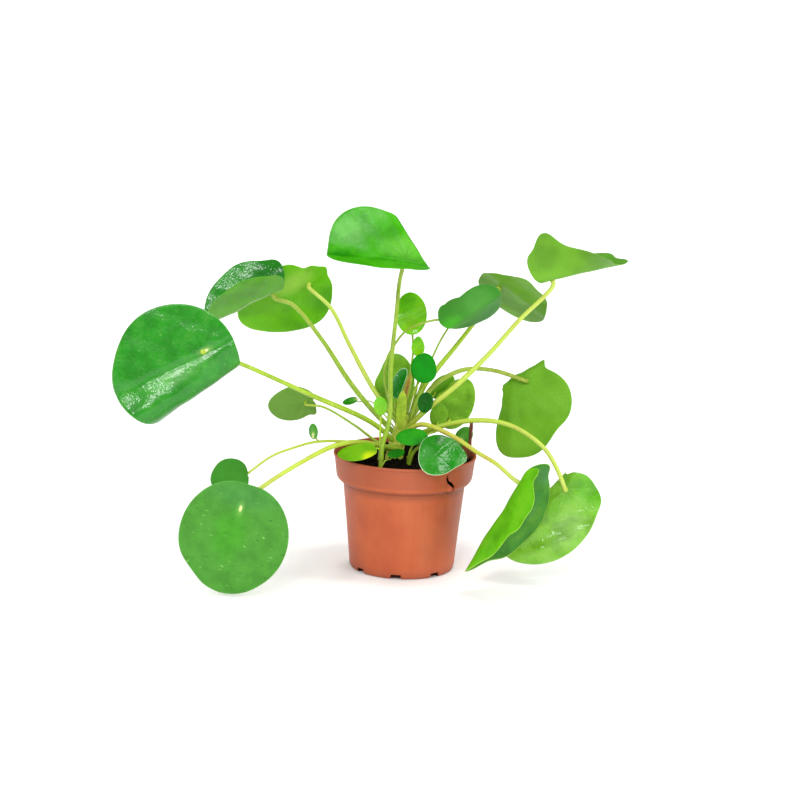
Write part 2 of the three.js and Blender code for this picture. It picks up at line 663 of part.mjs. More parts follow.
const shootRooms = shoots.map((shoot) => {
  const parts = (extra) => {
    const trunk = tube(shoot.stem, [shoot.thick / 2 + extra, shoot.thick / 2 + extra], 7, 5);
    return shoot.leaves.reduce((solid, leaf) => solid.add(stalk(leaf, extra)), trunk);
  };
  place(`shoot_${shoot.name}`, geometryOf(largest(parts(0).subtract(taken))), leafFinish(stalkLime));
  shoot.leaves.forEach((leaf) => {
    place(`blade_${leaf.name}`, geometryOf(blade(leaf)), leafFinish(leaf.color));
  });
  return parts(gap);
});

scales.forEach((scale) => place(scale.name, geometryOf(blade(scale)), leafFinish(scale.color)));

const stick = (extra) => tube(dryStick, [dryStickRadius + extra, dryStickRadius + extra], 7, 6);
place('dry_stick', geometryOf(stick(0)), material(twigBrown, 0.8));

const stickRoom = stick(gap);
const behindRoom = stalk(leaves.find((leaf) => leaf.name === 'behind_right'), gap);
const rooted = [stemRoom, stickRoom, behindRoom, ...shootRooms];
const bored = rooted.reduce((solid, room) => solid.subtract(room), soilBlock());
place('soil', geometryOf(largest(bored)), material(soilBrown, 0.95));

export default model;
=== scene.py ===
# %% [markdown]
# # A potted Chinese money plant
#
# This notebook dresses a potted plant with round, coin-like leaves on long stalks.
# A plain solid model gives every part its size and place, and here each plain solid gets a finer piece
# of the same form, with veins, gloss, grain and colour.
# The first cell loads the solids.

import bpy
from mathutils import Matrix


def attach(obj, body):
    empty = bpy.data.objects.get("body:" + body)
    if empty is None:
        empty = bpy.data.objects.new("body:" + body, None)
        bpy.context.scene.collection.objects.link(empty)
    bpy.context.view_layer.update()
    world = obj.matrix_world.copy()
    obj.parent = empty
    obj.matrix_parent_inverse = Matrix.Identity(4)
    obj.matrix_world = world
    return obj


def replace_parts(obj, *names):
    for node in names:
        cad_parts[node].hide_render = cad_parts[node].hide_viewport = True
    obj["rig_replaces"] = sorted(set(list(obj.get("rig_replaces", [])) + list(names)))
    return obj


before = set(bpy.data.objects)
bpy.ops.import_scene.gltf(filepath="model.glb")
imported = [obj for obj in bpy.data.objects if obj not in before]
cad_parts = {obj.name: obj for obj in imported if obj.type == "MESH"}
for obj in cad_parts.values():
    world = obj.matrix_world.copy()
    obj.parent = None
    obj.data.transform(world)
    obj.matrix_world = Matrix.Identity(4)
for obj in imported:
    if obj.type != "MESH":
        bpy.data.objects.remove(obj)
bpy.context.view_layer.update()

# %% [markdown]
# ## Units and the camera
#
# Every size below is in millimetres, as a grower or potter would measure it, and one constant turns them
# into Blender's metres.
# The camera stands 1.6 m in front of the plant, a little above it, and is turned by under two degrees.
# It is made first, because it settles which details will be seen.

# %% Units
import math

import bpy
import numpy as np
from mathutils import Matrix, Vector

MM = 0.001
scene = bpy.context.scene

# %% The camera
picture_width = 800
focal_pixels = 1918
sensor_width = 36
camera_distance = 1600 * MM
camera_pitch = math.radians(11.8)
camera_roll = math.radians(1.85)
camera_target = Vector((-5.7, 0, 142.8)) * MM

forward = Vector((0, math.cos(camera_pitch), -math.sin(camera_pitch)))
across = Vector((1, 0, 0))
upward = across.cross(forward)
right = math.cos(camera_roll) * across + math.sin(camera_roll) * upward
above = -math.sin(camera_roll) * across + math.cos(camera_roll) * upward

camera = bpy.data.objects.new("camera", bpy.data.cameras.new("camera"))
scene.collection.objects.link(camera)
camera.data.sensor_width = sensor_width
camera.data.lens = focal_pixels / picture_width * sensor_width
turn = Matrix((right, above, -forward)).transposed()
camera.matrix_world = Matrix.Translation(camera_target - forward * camera_distance) @ turn.to_4x4()
scene.camera = camera
print("lens:", round(camera.data.lens, 1), "mm")

# %% [markdown]
# ## Floor and light
#
# The plant stands on a wide white floor in a white room, as in a shop's picture.
# A room that is as white to a glossy leaf as to the camera would veil its green, so the leaves mirror a
# dimmer room, and the lamps alone make their highlights.
# Two small lamps stand where the glossy leaves would mirror them: one for the band across the leaf far left,
# one for the folded leaf and the top leaf. A lamp overhead does the same for the leaf on the pot's rim.
# A wide lamp on the right models the pot, and one behind shines on the backs of the leaves. Neither is
# mirrored, so that no leaf is veiled by it.

# %% The floor
floor_radii = [0.5, 3, 20, 150, 900]
floor_sides = 48
floor_corners = [(0, 0, 0)] + [
    (radius * math.cos(a), radius * math.sin(a), 0)
    for radius in floor_radii for a in np.arange(floor_sides) / floor_sides * 2 * math.pi
]
floor_faces = []
for j in range(floor_sides):
    k = (j + 1) % floor_sides
    floor_faces.append((0, 1 + j, 1 + k))
    for r in range(1, 1 + floor_sides * (len(floor_radii) - 1), floor_sides):
        floor_faces.append((r + j, r + floor_sides + j, r + floor_sides + k, r + k))
floor_mesh = bpy.data.meshes.new("floor")
floor_mesh.from_pydata(floor_corners, [], floor_faces)
floor = bpy.data.objects.new("floor", floor_mesh)
scene.collection.objects.link(floor)
floor_finish = bpy.data.materials.new("white_floor")
floor_finish.use_nodes = True
floor_surface = floor_finish.node_tree.nodes["Principled BSDF"]
floor_surface.inputs["Base Color"].default_value = (0.95, 0.95, 0.95, 1)
floor_surface.inputs["Roughness"].default_value = 0.9
floor_surface.inputs["Specular IOR Level"].default_value = 0.1
floor_mesh.materials.append(floor_finish)

# %% The room's light
room_strength = 0.88
seen_strength = 1.05
kept_from_mirrors = 0.74

room = bpy.data.worlds.new("white_room")
room.use_nodes = True
room_tree = room.node_tree
room_light = room_tree.nodes["Background"]
room_light.inputs["Color"].default_value = (1, 1, 1, 1)
light_path = room_tree.nodes.new("ShaderNodeLightPath")
seen_and_lit = room_tree.nodes.new("ShaderNodeMapRange")
seen_and_lit.inputs["To Min"].default_value = room_strength
seen_and_lit.inputs["To Max"].default_value = seen_strength
mirrored = room_tree.nodes.new("ShaderNodeMath")
mirrored.operation = "MULTIPLY_ADD"
mirrored.inputs[1].default_value = -kept_from_mirrors
room_tree.links.new(light_path.outputs["Is Camera Ray"], seen_and_lit.inputs["Value"])
room_tree.links.new(light_path.outputs["Is Glossy Ray"], mirrored.inputs[0])
room_tree.links.new(seen_and_lit.outputs["Result"], mirrored.inputs[2])
room_tree.links.new(mirrored.outputs["Value"], room_light.inputs["Strength"])
scene.world = room
scene.view_settings.view_transform = "Standard"
scene.view_settings.look = "None"

# %% The lamps
def lamp(name, direction, spread_of, power, mirrored_by_leaves=True):
    """A far, soft lamp: where it stands as seen from the plant, how wide it looks, and how strong it is."""
    light = bpy.data.lights.new(name, "SUN")
    light.angle = math.radians(spread_of)
    light.energy = power
    holder = bpy.data.objects.new(name, light)
    scene.collection.objects.link(holder)
    holder.rotation_euler = Vector(direction).to_track_quat("Z", "Y").to_euler()
    holder.visible_glossy = mirrored_by_leaves


lamp("left_lamp", (-0.51, -0.68, 0.53), 11, 0.6)
lamp("front_lamp", (-0.16, -0.83, 0.53), 11, 0.6)
lamp("top_lamp", (0.3, -0.05, 0.95), 12, 0.5)
lamp("back_lamp", (0.25, 1.0, 0.9), 30, 0.5, mirrored_by_leaves=False)
lamp("side_lamp", (0.95, -0.6, 0.35), 44, 1.5, mirrored_by_leaves=False)

# %% [markdown]
# ## Small helpers for materials
#
# A material is a graph of nodes. These helpers add one node, join what is given to its sockets, and hand
# back its result, so that a finish reads like a recipe.
# Colours are given from 0 to 255, as they look on a screen in this bright room, and turned into the share
# of light that the surface sends back.

# %% Colours and single nodes
room_gain = 1.25
screen_gamma = 2.2


def tone(r, g, b):
    return tuple((c / 255) ** screen_gamma / room_gain for c in (r, g, b)) + (1,)


def put(tree, socket, value):
    """Joins a socket to another node's result, or sets it to a plain value."""
    if isinstance(value, bpy.types.NodeSocket):
        tree.links.new(value, socket)
    else:
        socket.default_value = value


def add(tree, kind, output=0, settings=None, **sockets):
    """A new node's result. A socket is given by its label, or by an underscore and its number."""
    node = tree.nodes.new(kind)
    for key, value in (settings or {}).items():
        setattr(node, key, value)
    for key, value in sockets.items():
        numbered = key[0] == "_" and key[1:].isdigit()
        put(tree, node.inputs[int(key[1:]) if numbered else key.replace("_", " ")], value)
    return node.outputs[output]

# %% Sums and ranges
def math_node(tree, operation, *values):
    numbered = {f"_{i}": value for i, value in enumerate(values)}
    return add(tree, "ShaderNodeMath", 0, {"operation": operation}, **numbered)


def times(tree, first, *others):
    for other in others:
        first = math_node(tree, "MULTIPLY", first, other)
    return first


def vector_node(tree, operation, *values, **sockets):
    """A vector, or for a length or a dot product the one number that is the node's second result."""
    numbered = {f"_{i}": value for i, value in enumerate(values)}
    output = 1 if operation in ("LENGTH", "DOT_PRODUCT") else 0
    return add(tree, "ShaderNodeVectorMath", output, {"operation": operation}, **numbered, **sockets)


def spread(tree, value, low, high, to_low=0.0, to_high=1.0, smooth=True):
    settings = {"interpolation_type": "SMOOTHSTEP" if smooth else "LINEAR"}
    return add(tree, "ShaderNodeMapRange", 0, settings, Value=value, From_Min=low, From_Max=high,
               To_Min=to_low, To_Max=to_high)

# %% Mixed colours and noise
mix_share, mix_first, mix_second, mix_result = 0, 6, 7, 2


def blend_colours(tree, share, first, second, how="MIX"):
    node = tree.nodes.new("ShaderNodeMix")
    node.data_type = "RGBA"
    node.blend_type = how
    for number, value in ((mix_share, share), (mix_first, first), (mix_second, second)):
        put(tree, node.inputs[number], value)
    return node.outputs[mix_result]


def layered(tree, colour, *layers):
    """A colour with layers painted over it, each given as its share and its colour."""
    for share, over in layers:
        colour = blend_colours(tree, share, colour, over)
    return colour


def noise(tree, place, scale, detail=3.0, roughness=0.5):
    return add(tree, "ShaderNodeTexNoise", 0, None, Vector=place, Scale=scale, Detail=detail,
               Roughness=roughness)


def stretched(tree, place, *scale):
    return add(tree, "ShaderNodeMapping", 0, None, Vector=place, Scale=scale)

# %% A finish and its surface
object_place = 3


def finish_of(name):
    """A new material, its tree, its surface node and the object's own coordinates."""
    material = bpy.data.materials.new(name)
    material.use_nodes = True
    tree = material.node_tree
    place = add(tree, "ShaderNodeTexCoord", object_place)
    return material, tree, tree.nodes["Principled BSDF"], place


def settle(tree, surface, colour, roughness, **same_all_over):
    put(tree, surface.inputs["Base Color"], colour)
    put(tree, surface.inputs["Roughness"], roughness)
    for label, value in same_all_over.items():
        surface.inputs[label.replace("_", " ")].default_value = value


def grain(tree, surface, height, depth, strength=1.0):
    bump = add(tree, "ShaderNodeBump", 0, None, Height=height, Strength=strength, Distance=depth)
    tree.links.new(bump, surface.inputs["Normal"])

# %% [markdown]
# ## Making a mesh a piece of the plant
#
# Every finished piece rides with the one body of this object, and stands for one or more of the plain solids.

# %% Pieces
def piece(thing, solids):
    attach(thing, "root")
    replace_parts(thing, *solids)
    return thing


def mesh_object(name, points, faces, materials=(), smooth=True):
    mesh = bpy.data.meshes.new(name)
    mesh.from_pydata([tuple(p) for p in np.asarray(points) * MM], [], faces)
    for material in materials:
        mesh.materials.append(material)
    mesh.polygons.foreach_set("use_smooth", [smooth] * len(mesh.polygons))
    thing = bpy.data.objects.new(name, mesh)
    scene.collection.objects.link(thing)
    return thing


def triangles(thing):
    return sum(len(p.vertices) - 2 for p in thing.data.polygons)


def acting_on(things):
    """For one operator: the first of these things is the active one, and all of them are chosen."""
    return bpy.context.temp_override(object=things[0], active_object=things[0], selected_objects=things,
                                     selected_editable_objects=things)

# %% [markdown]
# ## The pot
#
# The pot is a thin moulded grower's pot: a tapered body, a wider collar and a small lip.
# It could be turned by a screw modifier, but the collar is torn on one side and bent there, so the
# profile is turned in code and each point near the tear is moved, as the plastic was.
# Rounding the profile's corners with short arcs gives the soft edges of moulded plastic.

# %% The pot's profile
rim_radius = 60
pot_height = 98
base_radius = 44
body_top_radius = 51.4
body_top_height = 74
collar_foot_radius = 57.2
collar_foot_height = 79.5
lip_height = 2.6
wall = 1.5
foot_round = 2
floor_top = wall + 0.2
lip_foot = pot_height - lip_height
collar_top = rim_radius - 0.9

pot_profile = [
    (0, 0), (base_radius - foot_round, 0), (base_radius - foot_round * 0.3, foot_round * 0.3),
    (base_radius + 0.2, foot_round), (base_radius + 3.6, 38), (body_top_radius, body_top_height),
    (body_top_radius + 3.2, body_top_height + 1.2), (collar_foot_radius - 0.6, collar_foot_height - 2),
    (collar_foot_radius, collar_foot_height), (collar_top, lip_foot), (rim_radius, lip_foot + 0.6),
    (rim_radius, pot_height - 0.5), (rim_radius - 0.5, pot_height), (rim_radius - wall, pot_height),
    (collar_top - wall, lip_foot), (collar_foot_radius - wall, collar_foot_height),
    (body_top_radius - wall + 0.6, body_top_height + 2.4), (body_top_radius - wall, body_top_height),
    (base_radius - wall, foot_round + 1), (base_radius - wall - 1.5, floor_top), (0, floor_top),
]


def rounded(profile, reach, steps=3):
    """The same line with its inner corners replaced by short arcs."""
    line = [profile[0]]
    for before, corner, after in zip(profile, profile[1:], profile[2:]):
        p, c, n = (np.array(q, float) for q in (before, corner, after))
        into = c + (p - c) * min(0.45, reach / np.linalg.norm(p - c))
        out = c + (n - c) * min(0.45, reach / np.linalg.norm(n - c))
        for t in np.linspace(0, 1, steps):
            line.append(tuple((1 - t) ** 2 * into + 2 * t * (1 - t) * c + t * t * out))
    return line + [profile[-1]]

# %% [markdown]
# The collar is split below its lip, a little to the right of the front.
# Right of the split the plastic stands out, and left of it it is pushed in. Both bends fade out towards
# the lip and the body, which stay round.

# %% The bend of the torn collar
tear_azimuth = -49
flap_spread = 36
flap_lift = 2.4
dent_spread = 16
dent_depth = 1.6
stiff_top = 96
stiff_fade = 14
stiff_foot = 4


def smooth_step(value, low, high):
    t = np.clip((value - low) / (high - low), 0, 1)
    return t * t * (3 - 2 * t)


def bent_collar(points):
    x, y, z = points.T
    azimuth = np.degrees(np.arctan2(y, x)) - tear_azimuth
    free = smooth_step(stiff_top - z, 0, stiff_fade)
    free = free * smooth_step(z, body_top_height, body_top_height + stiff_foot)
    lifted = np.where((azimuth >= 0) & (azimuth < flap_spread), flap_lift * (1 - azimuth / flap_spread), 0)
    pushed = np.where((azimuth < 0) & (azimuth > -dent_spread), -dent_depth * (1 + azimuth / dent_spread), 0)
    scale = 1 + (lifted + pushed) * free / np.maximum(1, np.hypot(x, y))
    return np.stack([x * scale, y * scale, z], 1)

# %% Turn the profile
pot_segments = 192
corner_reach = 0.9


def turned(name, profile, segments, bend):
    line = np.array(profile[1:-1])
    angles = np.arange(segments) / segments * 2 * math.pi
    rings = np.stack([
        line[:, None, 0] * np.cos(angles), line[:, None, 0] * np.sin(angles),
        np.repeat(line[:, 1:], segments, 1)], -1).reshape(-1, 3)
    points = bend(np.vstack([rings, [(0, 0, profile[0][1]), (0, 0, profile[-1][1])]]))
    foot, top, last = len(rings), len(rings) + 1, (len(line) - 1) * segments
    faces = []
    for j in range(segments):
        k = (j + 1) % segments
        faces += [(i + j, i + k, i + segments + k, i + segments + j) for i in range(0, last, segments)]
        faces += [(foot, k, j), (top, last + j, last + k)]
    return mesh_object(name, points, faces)


pot = turned("pot_shell", rounded(pot_profile, corner_reach), pot_segments, bent_collar)
print("pot:", triangles(pot), "triangles before cutting")

# %% [markdown]
# The drain notches and the jagged tear are cut with boolean modifiers, as a knife would cut the plastic.
# Each cutter is a small closed block. The result is applied at once, so that a plain mesh is left.

# %% A cutter and a cut
def block(name, outline, depth, place):
    """An outline in X and Z, as thick as depth along Y, put in place by a matrix."""
    count = len(outline)
    points = [(x, y, z) for y in (-depth / 2, depth / 2) for x, z in outline]
    faces = [tuple(range(count)), tuple(range(2 * count - 1, count - 1, -1))]
    faces += [(j, count + j, count + (j + 1) % count, (j + 1) % count) for j in range(count)]
    moved = [tuple(place @ Vector(p)) for p in points]
    return mesh_object(name, moved, faces, smooth=False)


def cut(thing, cutter):
    bpy.context.view_layer.update()
    modifier = thing.modifiers.new("cut", "BOOLEAN")
    modifier.operation = "DIFFERENCE"
    modifier.solver = "EXACT"
    modifier.object = cutter
    evaluated = thing.evaluated_get(bpy.context.evaluated_depsgraph_get())
    mesh = bpy.data.meshes.new_from_object(evaluated)
    thing.modifiers.clear()
    thing.data = mesh
    bpy.data.objects.remove(cutter)


def on_pot(azimuth, radius):
    """The place on the pot at an azimuth, in degrees from the front, and a distance from its axis."""
    return Matrix.Rotation(math.radians(azimuth), 4, "Z") @ Matrix.Translation((0, -radius, 0))

# %% Cut the notches
notch_count = 8
notch_width = 9.5
notch_taper = 0.6
notch_height = 4.2
notch_depth = 9
notch_offset = -6
below_floor = -1

notch_outline = [
    (-notch_width / 2, below_floor), (notch_width / 2, below_floor),
    (notch_width / 2 - notch_taper, notch_height), (-notch_width / 2 + notch_taper, notch_height),
]
for i in range(notch_count):
    spot = on_pot(90 + notch_offset + i * 360 / notch_count, base_radius)
    cut(pot, block("notch", notch_outline, notch_depth, spot))

# %% Cut the tear
tear_reach = 24
tear_edge = [
    (4.4, 73), (3.4, 80.5), (1.8, 83), (-1, 85.5), (-2.6, 88.5), (-3.6, 92),
    (-4.8, 88.5), (-3.6, 85), (-0.8, 82.3), (0.8, 79.5), (1.6, 73),
]
tear_splinter = 0.22


def splintered(outline, amount, parts=3, seed=5):
    """The same outline with small jags along its edges, as brittle plastic breaks."""
    chance = np.random.default_rng(seed)
    line = []
    for (x, z), (nx, nz) in zip(outline, outline[1:] + outline[:1]):
        jags = chance.uniform(-amount, amount, (parts, 2))
        jags[0] = 0
        for k in range(parts):
            t = k / parts
            line.append((x + (nx - x) * t + jags[k, 0], z + (nz - z) * t + jags[k, 1]))
    return line


tear_outline = splintered(tear_edge, tear_splinter)
cut(pot, block("tear", tear_outline, tear_reach, on_pot(tear_azimuth + 90, collar_foot_radius)))
print("pot:", triangles(pot), "triangles")

# %% [markdown]
# The plastic is a dull orange brown. On the real pot it is mottled where light shines through it. Noise at
# three scales gives the mottling. By the height above the floor, the collar and the corner under it get
# painted shade, and the plastic is darker towards the foot. Inside the drain notches the plastic is painted
# black: painted shade for the dark inside of the pot.

# %% The pot's tones and heights
# The last three tones are painted shade: under the collar, on the collar and inside the notches. The tone
# before them darkens the plastic towards the foot.
plastic = {
    "deep": tone(188, 85, 48), "pale": tone(205, 101, 58), "flowed": tone(211, 117, 76),
    "speck": tone(150, 72, 50), "foot_band": tone(140, 80, 62), "shade_under_collar": tone(120, 62, 46),
    "collar": tone(168, 86, 58), "notch_shade": tone(34, 18, 12),
}
foot_band_top = 10 * MM
# Heights where the painted shade under the collar and the painted shade on the collar start and end.
under_collar_shade_starts, under_collar_shade_full, under_collar_shade_fades, under_collar_shade_ends = 66 * MM, 73.5 * MM, 74.5 * MM, 79 * MM
collar_shade_starts, collar_shade_full = 78 * MM, 81 * MM
wall_inside, wall_outside = 42.7 * MM, 43.1 * MM
notch_black, notch_clear = 4.2 * MM, 5.5 * MM
foot_clear, foot_black = 0.2 * MM, 0.6 * MM
smooth_below_angle = math.radians(32)

# %% The pot's plastic
pot_plastic, tree, surface, place = finish_of("pot_plastic")
height = add(tree, "ShaderNodeSeparateXYZ", 2, None, Vector=place)
from_axis = vector_node(tree, "LENGTH", vector_node(tree, "MULTIPLY", place, (1, 1, 0)))
clouds = noise(tree, place, 26, 4, 0.6)
speckle = noise(tree, place, 900, 2)
flow = noise(tree, stretched(tree, place, 60, 60, 6), 1.0, 3)
# Painted shade in the corner under the collar.
painted_under_collar_shade = times(tree, spread(tree, height, under_collar_shade_starts, under_collar_shade_full),
                     spread(tree, height, under_collar_shade_ends, under_collar_shade_fades), 0.5)
# Painted shade inside the drain notches, for the dark inside of the pot.
painted_notch_shade = times(tree, spread(tree, from_axis, wall_outside, wall_inside),
                 spread(tree, height, notch_clear, notch_black), spread(tree, height, foot_clear, foot_black))
colour = layered(
    tree, plastic["deep"],
    (spread(tree, clouds, 0.3, 0.7), plastic["pale"]),
    (spread(tree, flow, 0.45, 0.75, 0, 0.4), plastic["flowed"]),
    (spread(tree, speckle, 0.62, 0.8, 0, 0.3), plastic["speck"]),
    # Darker towards the foot.
    (spread(tree, height, foot_band_top, 0.0, 0, 0.4), plastic["foot_band"]),
    (painted_under_collar_shade, plastic["shade_under_collar"]),
    # Painted shade on the collar.
    (spread(tree, height, collar_shade_starts, collar_shade_full, 0, 0.55), plastic["collar"]),
    (painted_notch_shade, plastic["notch_shade"]))
settle(tree, surface, colour, spread(tree, clouds, 0.3, 0.7, 0.42, 0.56), Specular_IOR_Level=0.4,
       Subsurface_Weight=0.06, Subsurface_Radius=(1.0, 0.4, 0.2), Subsurface_Scale=2 * MM)
grain(tree, surface, math_node(tree, "ADD", speckle, clouds), 0.12 * MM, 0.5)

# %% Dress the pot
pot.data.materials.clear()
pot.data.materials.append(pot_plastic)
pot.name = "pot_with_torn_collar"
pot.data.polygons.foreach_set("use_smooth", [True] * len(pot.data.polygons))
with acting_on([pot]):
    bpy.ops.object.shade_smooth_by_angle(angle=smooth_below_angle)
piece(pot, ["pot"])

# %% [markdown]
# ## The soil
#
# Potting soil fills the pot to just under its lip. Its block is turned like the pot, and its top is a
# grid of rings whose heights follow slow lumps and finer clods.
# Sums of sines would look regular, so the finer part is made with Blender's own noise.

# %% The soil's block
from mathutils import noise as solid_noise

soil_top = 93
soil_roughness = 1.6
broad_share, fine_share = 0.6, 0.36
clod_height, clod_scale = 1.1, 0.16
gap = 0.3


def soil_height(x, y):
    broad = math.sin(x * 0.31 + 1.3) * math.cos(y * 0.27 - 0.4)
    fine = math.sin(x * 0.67 - y * 0.53 + 2.1)
    clods = solid_noise.fractal(Vector((x, y, 0)) * clod_scale, 1.0, 2.0, 4)
    return soil_top + soil_roughness * (broad_share * broad + fine_share * fine) + clod_height * clods


soil_sides = [
    (base_radius - wall - 2.2, floor_top + gap), (base_radius - wall - gap, foot_round + 2),
    (body_top_radius - wall - gap, body_top_height),
    (body_top_radius - wall - gap - 0.4, body_top_height + 2.8),
    (collar_foot_radius - wall - gap - dent_depth - 0.1, collar_foot_height + 1),
    (collar_top - wall - gap - dent_depth, soil_top - 1.5),
]

# %% Turn the soil
soil_segments = 180
soil_steps = 56
soil_edge = soil_sides[-1][0]
soil_rings = [(soil_edge * k / soil_steps, None) for k in range(soil_steps - 1, 0, -1)]
soil_points = []
for radius, level in soil_sides + soil_rings:
    for a in np.arange(soil_segments) / soil_segments * 2 * math.pi:
        x, y = radius * math.cos(a), radius * math.sin(a)
        soil_points.append((x, y, soil_height(x, y) if level is None else level))
soil_points += [(0, 0, soil_sides[0][1]), (0, 0, soil_height(0, 0))]
soil_foot, soil_middle = len(soil_points) - 2, len(soil_points) - 1
top_ring = soil_foot - soil_segments
soil_faces = []
for j in range(soil_segments):
    k = (j + 1) % soil_segments
    for a in range(0, top_ring, soil_segments):
        b = a + soil_segments
        soil_faces.append((a + j, a + k, b + k, b + j))
    soil_faces += [(soil_foot, k, j), (top_ring + j, top_ring + k, soil_middle)]
soil = mesh_object("soil_block", soil_points, soil_faces)
print("soil:", triangles(soil), "triangles")

# %% [markdown]
# Wet potting soil is almost black, with brown fibres and a few pale crumbs. The colour mixes three
# noises, and a strong bump breaks up what the mesh leaves smooth.

# %% The soil's colour
def soil_finish(name, dark, light):
    material, tree, surface, place = finish_of(name)
    crumbs = noise(tree, place, 420, 6, 0.7)
    patches = noise(tree, place, 60, 3)
    colour = layered(tree, dark, (spread(tree, crumbs, 0.35, 0.72), light),
                     (spread(tree, patches, 0.4, 0.65, 0, 0.6), tone(10, 8, 7)))
    settle(tree, surface, colour, 0.92, Specular_IOR_Level=0.15)
    grain(tree, surface, crumbs, 1.2 * MM, 0.9)
    return material


moist_soil = soil_finish("moist_soil", tone(10, 8, 6), tone(36, 27, 19))
soil.data.materials.append(moist_soil)
piece(soil, ["soil"])

# %% [markdown]
# Loose crumbs lie on the soil. They repeat hundreds of times, so Geometry Nodes scatter them: points on
# the soil's top, a tiny lump on each, turned and scaled at random with a fixed seed, and all made real.

# %% Building and running a tree
def group_with(name, sockets):
    tree = bpy.data.node_groups.new(name, "GeometryNodeTree")
    tree.interface.new_socket("Geometry", in_out="INPUT", socket_type="NodeSocketGeometry")
    for label, kind, value in sockets:
        socket = tree.interface.new_socket(label, in_out="INPUT", socket_type=kind)
        socket.default_value = value
    tree.interface.new_socket("Geometry", in_out="OUTPUT", socket_type="NodeSocketGeometry")
    return tree, tree.nodes.new("NodeGroupInput"), tree.nodes.new("NodeGroupOutput")


def run_tree(thing, tree, values, name):
    """The mesh that the tree makes from thing, with its inputs set by their identifiers."""
    modifier = thing.modifiers.new("tree", "NODES")
    modifier.node_group = tree
    for item in tree.interface.items_tree:
        if item.in_out == "INPUT" and item.name in values:
            modifier[item.identifier] = values[item.name]
    bpy.context.view_layer.update()
    evaluated = thing.evaluated_get(bpy.context.evaluated_depsgraph_get())
    mesh = bpy.data.meshes.new_from_object(evaluated)
    thing.modifiers.clear()
    result = bpy.data.objects.new(name, mesh)
    scene.collection.objects.link(result)
    return result

# %% A tree that scatters crumbs
crumb_wobble = 1.2 * MM
full_turn = 6.3

crumb_tree, source, result = group_with("scatter_crumbs", [
    ("Density", "NodeSocketFloat", 100000.0), ("Smallest", "NodeSocketFloat", 0.2),
    ("Largest", "NodeSocketFloat", 1.0), ("Size", "NodeSocketFloat", 1 * MM),
    ("Seed", "NodeSocketInt", 4), ("Lowest", "NodeSocketFloat", 88 * MM),
])
height_up = add(crumb_tree, "ShaderNodeSeparateXYZ", 2, None,
                Vector=add(crumb_tree, "GeometryNodeInputPosition"))
on_top = add(crumb_tree, "FunctionNodeCompare", 0, {"data_type": "FLOAT", "operation": "GREATER_THAN"},
             _0=height_up, _1=source.outputs["Lowest"])
points = crumb_tree.nodes.new("GeometryNodeDistributePointsOnFaces")
for name in ("Density", "Seed"):
    crumb_tree.links.new(source.outputs[name], points.inputs[name])
crumb_tree.links.new(source.outputs["Geometry"], points.inputs["Mesh"])
crumb_tree.links.new(on_top, points.inputs["Selection"])
lump = add(crumb_tree, "GeometryNodeMeshIcoSphere", 0, None, Radius=source.outputs["Size"], Subdivisions=2)
wobble = add(crumb_tree, "ShaderNodeTexNoise", 1, None, Scale=900.0)
shift = vector_node(crumb_tree, "SUBTRACT", wobble, (0.5, 0.5, 0.5))
shift = vector_node(crumb_tree, "SCALE", shift, Scale=crumb_wobble)
rough_lump = add(crumb_tree, "GeometryNodeSetPosition", 0, None, Geometry=lump, Offset=shift)
spin = add(crumb_tree, "FunctionNodeRandomValue", 0, {"data_type": "FLOAT_VECTOR"},
           _1=(full_turn, full_turn, full_turn), Seed=1)
stretch = add(crumb_tree, "FunctionNodeRandomValue", 1, {"data_type": "FLOAT"},
              _2=source.outputs["Smallest"], _3=source.outputs["Largest"], Seed=2)
lumps = add(crumb_tree, "GeometryNodeInstanceOnPoints", 0, None, Points=points.outputs["Points"],
            Instance=rough_lump, Rotation=spin, Scale=stretch)
real = add(crumb_tree, "GeometryNodeRealizeInstances", 0, None, Geometry=lumps)
coloured = add(crumb_tree, "GeometryNodeSetMaterial", 0, None, Geometry=real,
               Material=soil_finish("loose_crumbs", tone(18, 13, 10), tone(66, 48, 34)))
crumb_tree.links.new(coloured, result.inputs["Geometry"])

# %% Scatter them
crumbs = run_tree(soil, crumb_tree, {"Density": 95000.0, "Smallest": 0.25, "Largest": 1.25, "Seed": 4},
                  "soil_crumbs")
piece(crumbs, ["soil"])
print("crumbs:", triangles(crumbs), "triangles")

# %% [markdown]
# ## The plant's tables
#
# Each leaf is one entry: where its stalk joins the blade (at), which way its tip points (tip) and its
# upper side looks (face), its length and width, how its sides and its rim bend, and the route of its
# stalk. The same values shape the plain solids, so each fine leaf lies where its solid is.
# The leaves are listed from the left of the view to the right, then those in the heart of the plant.

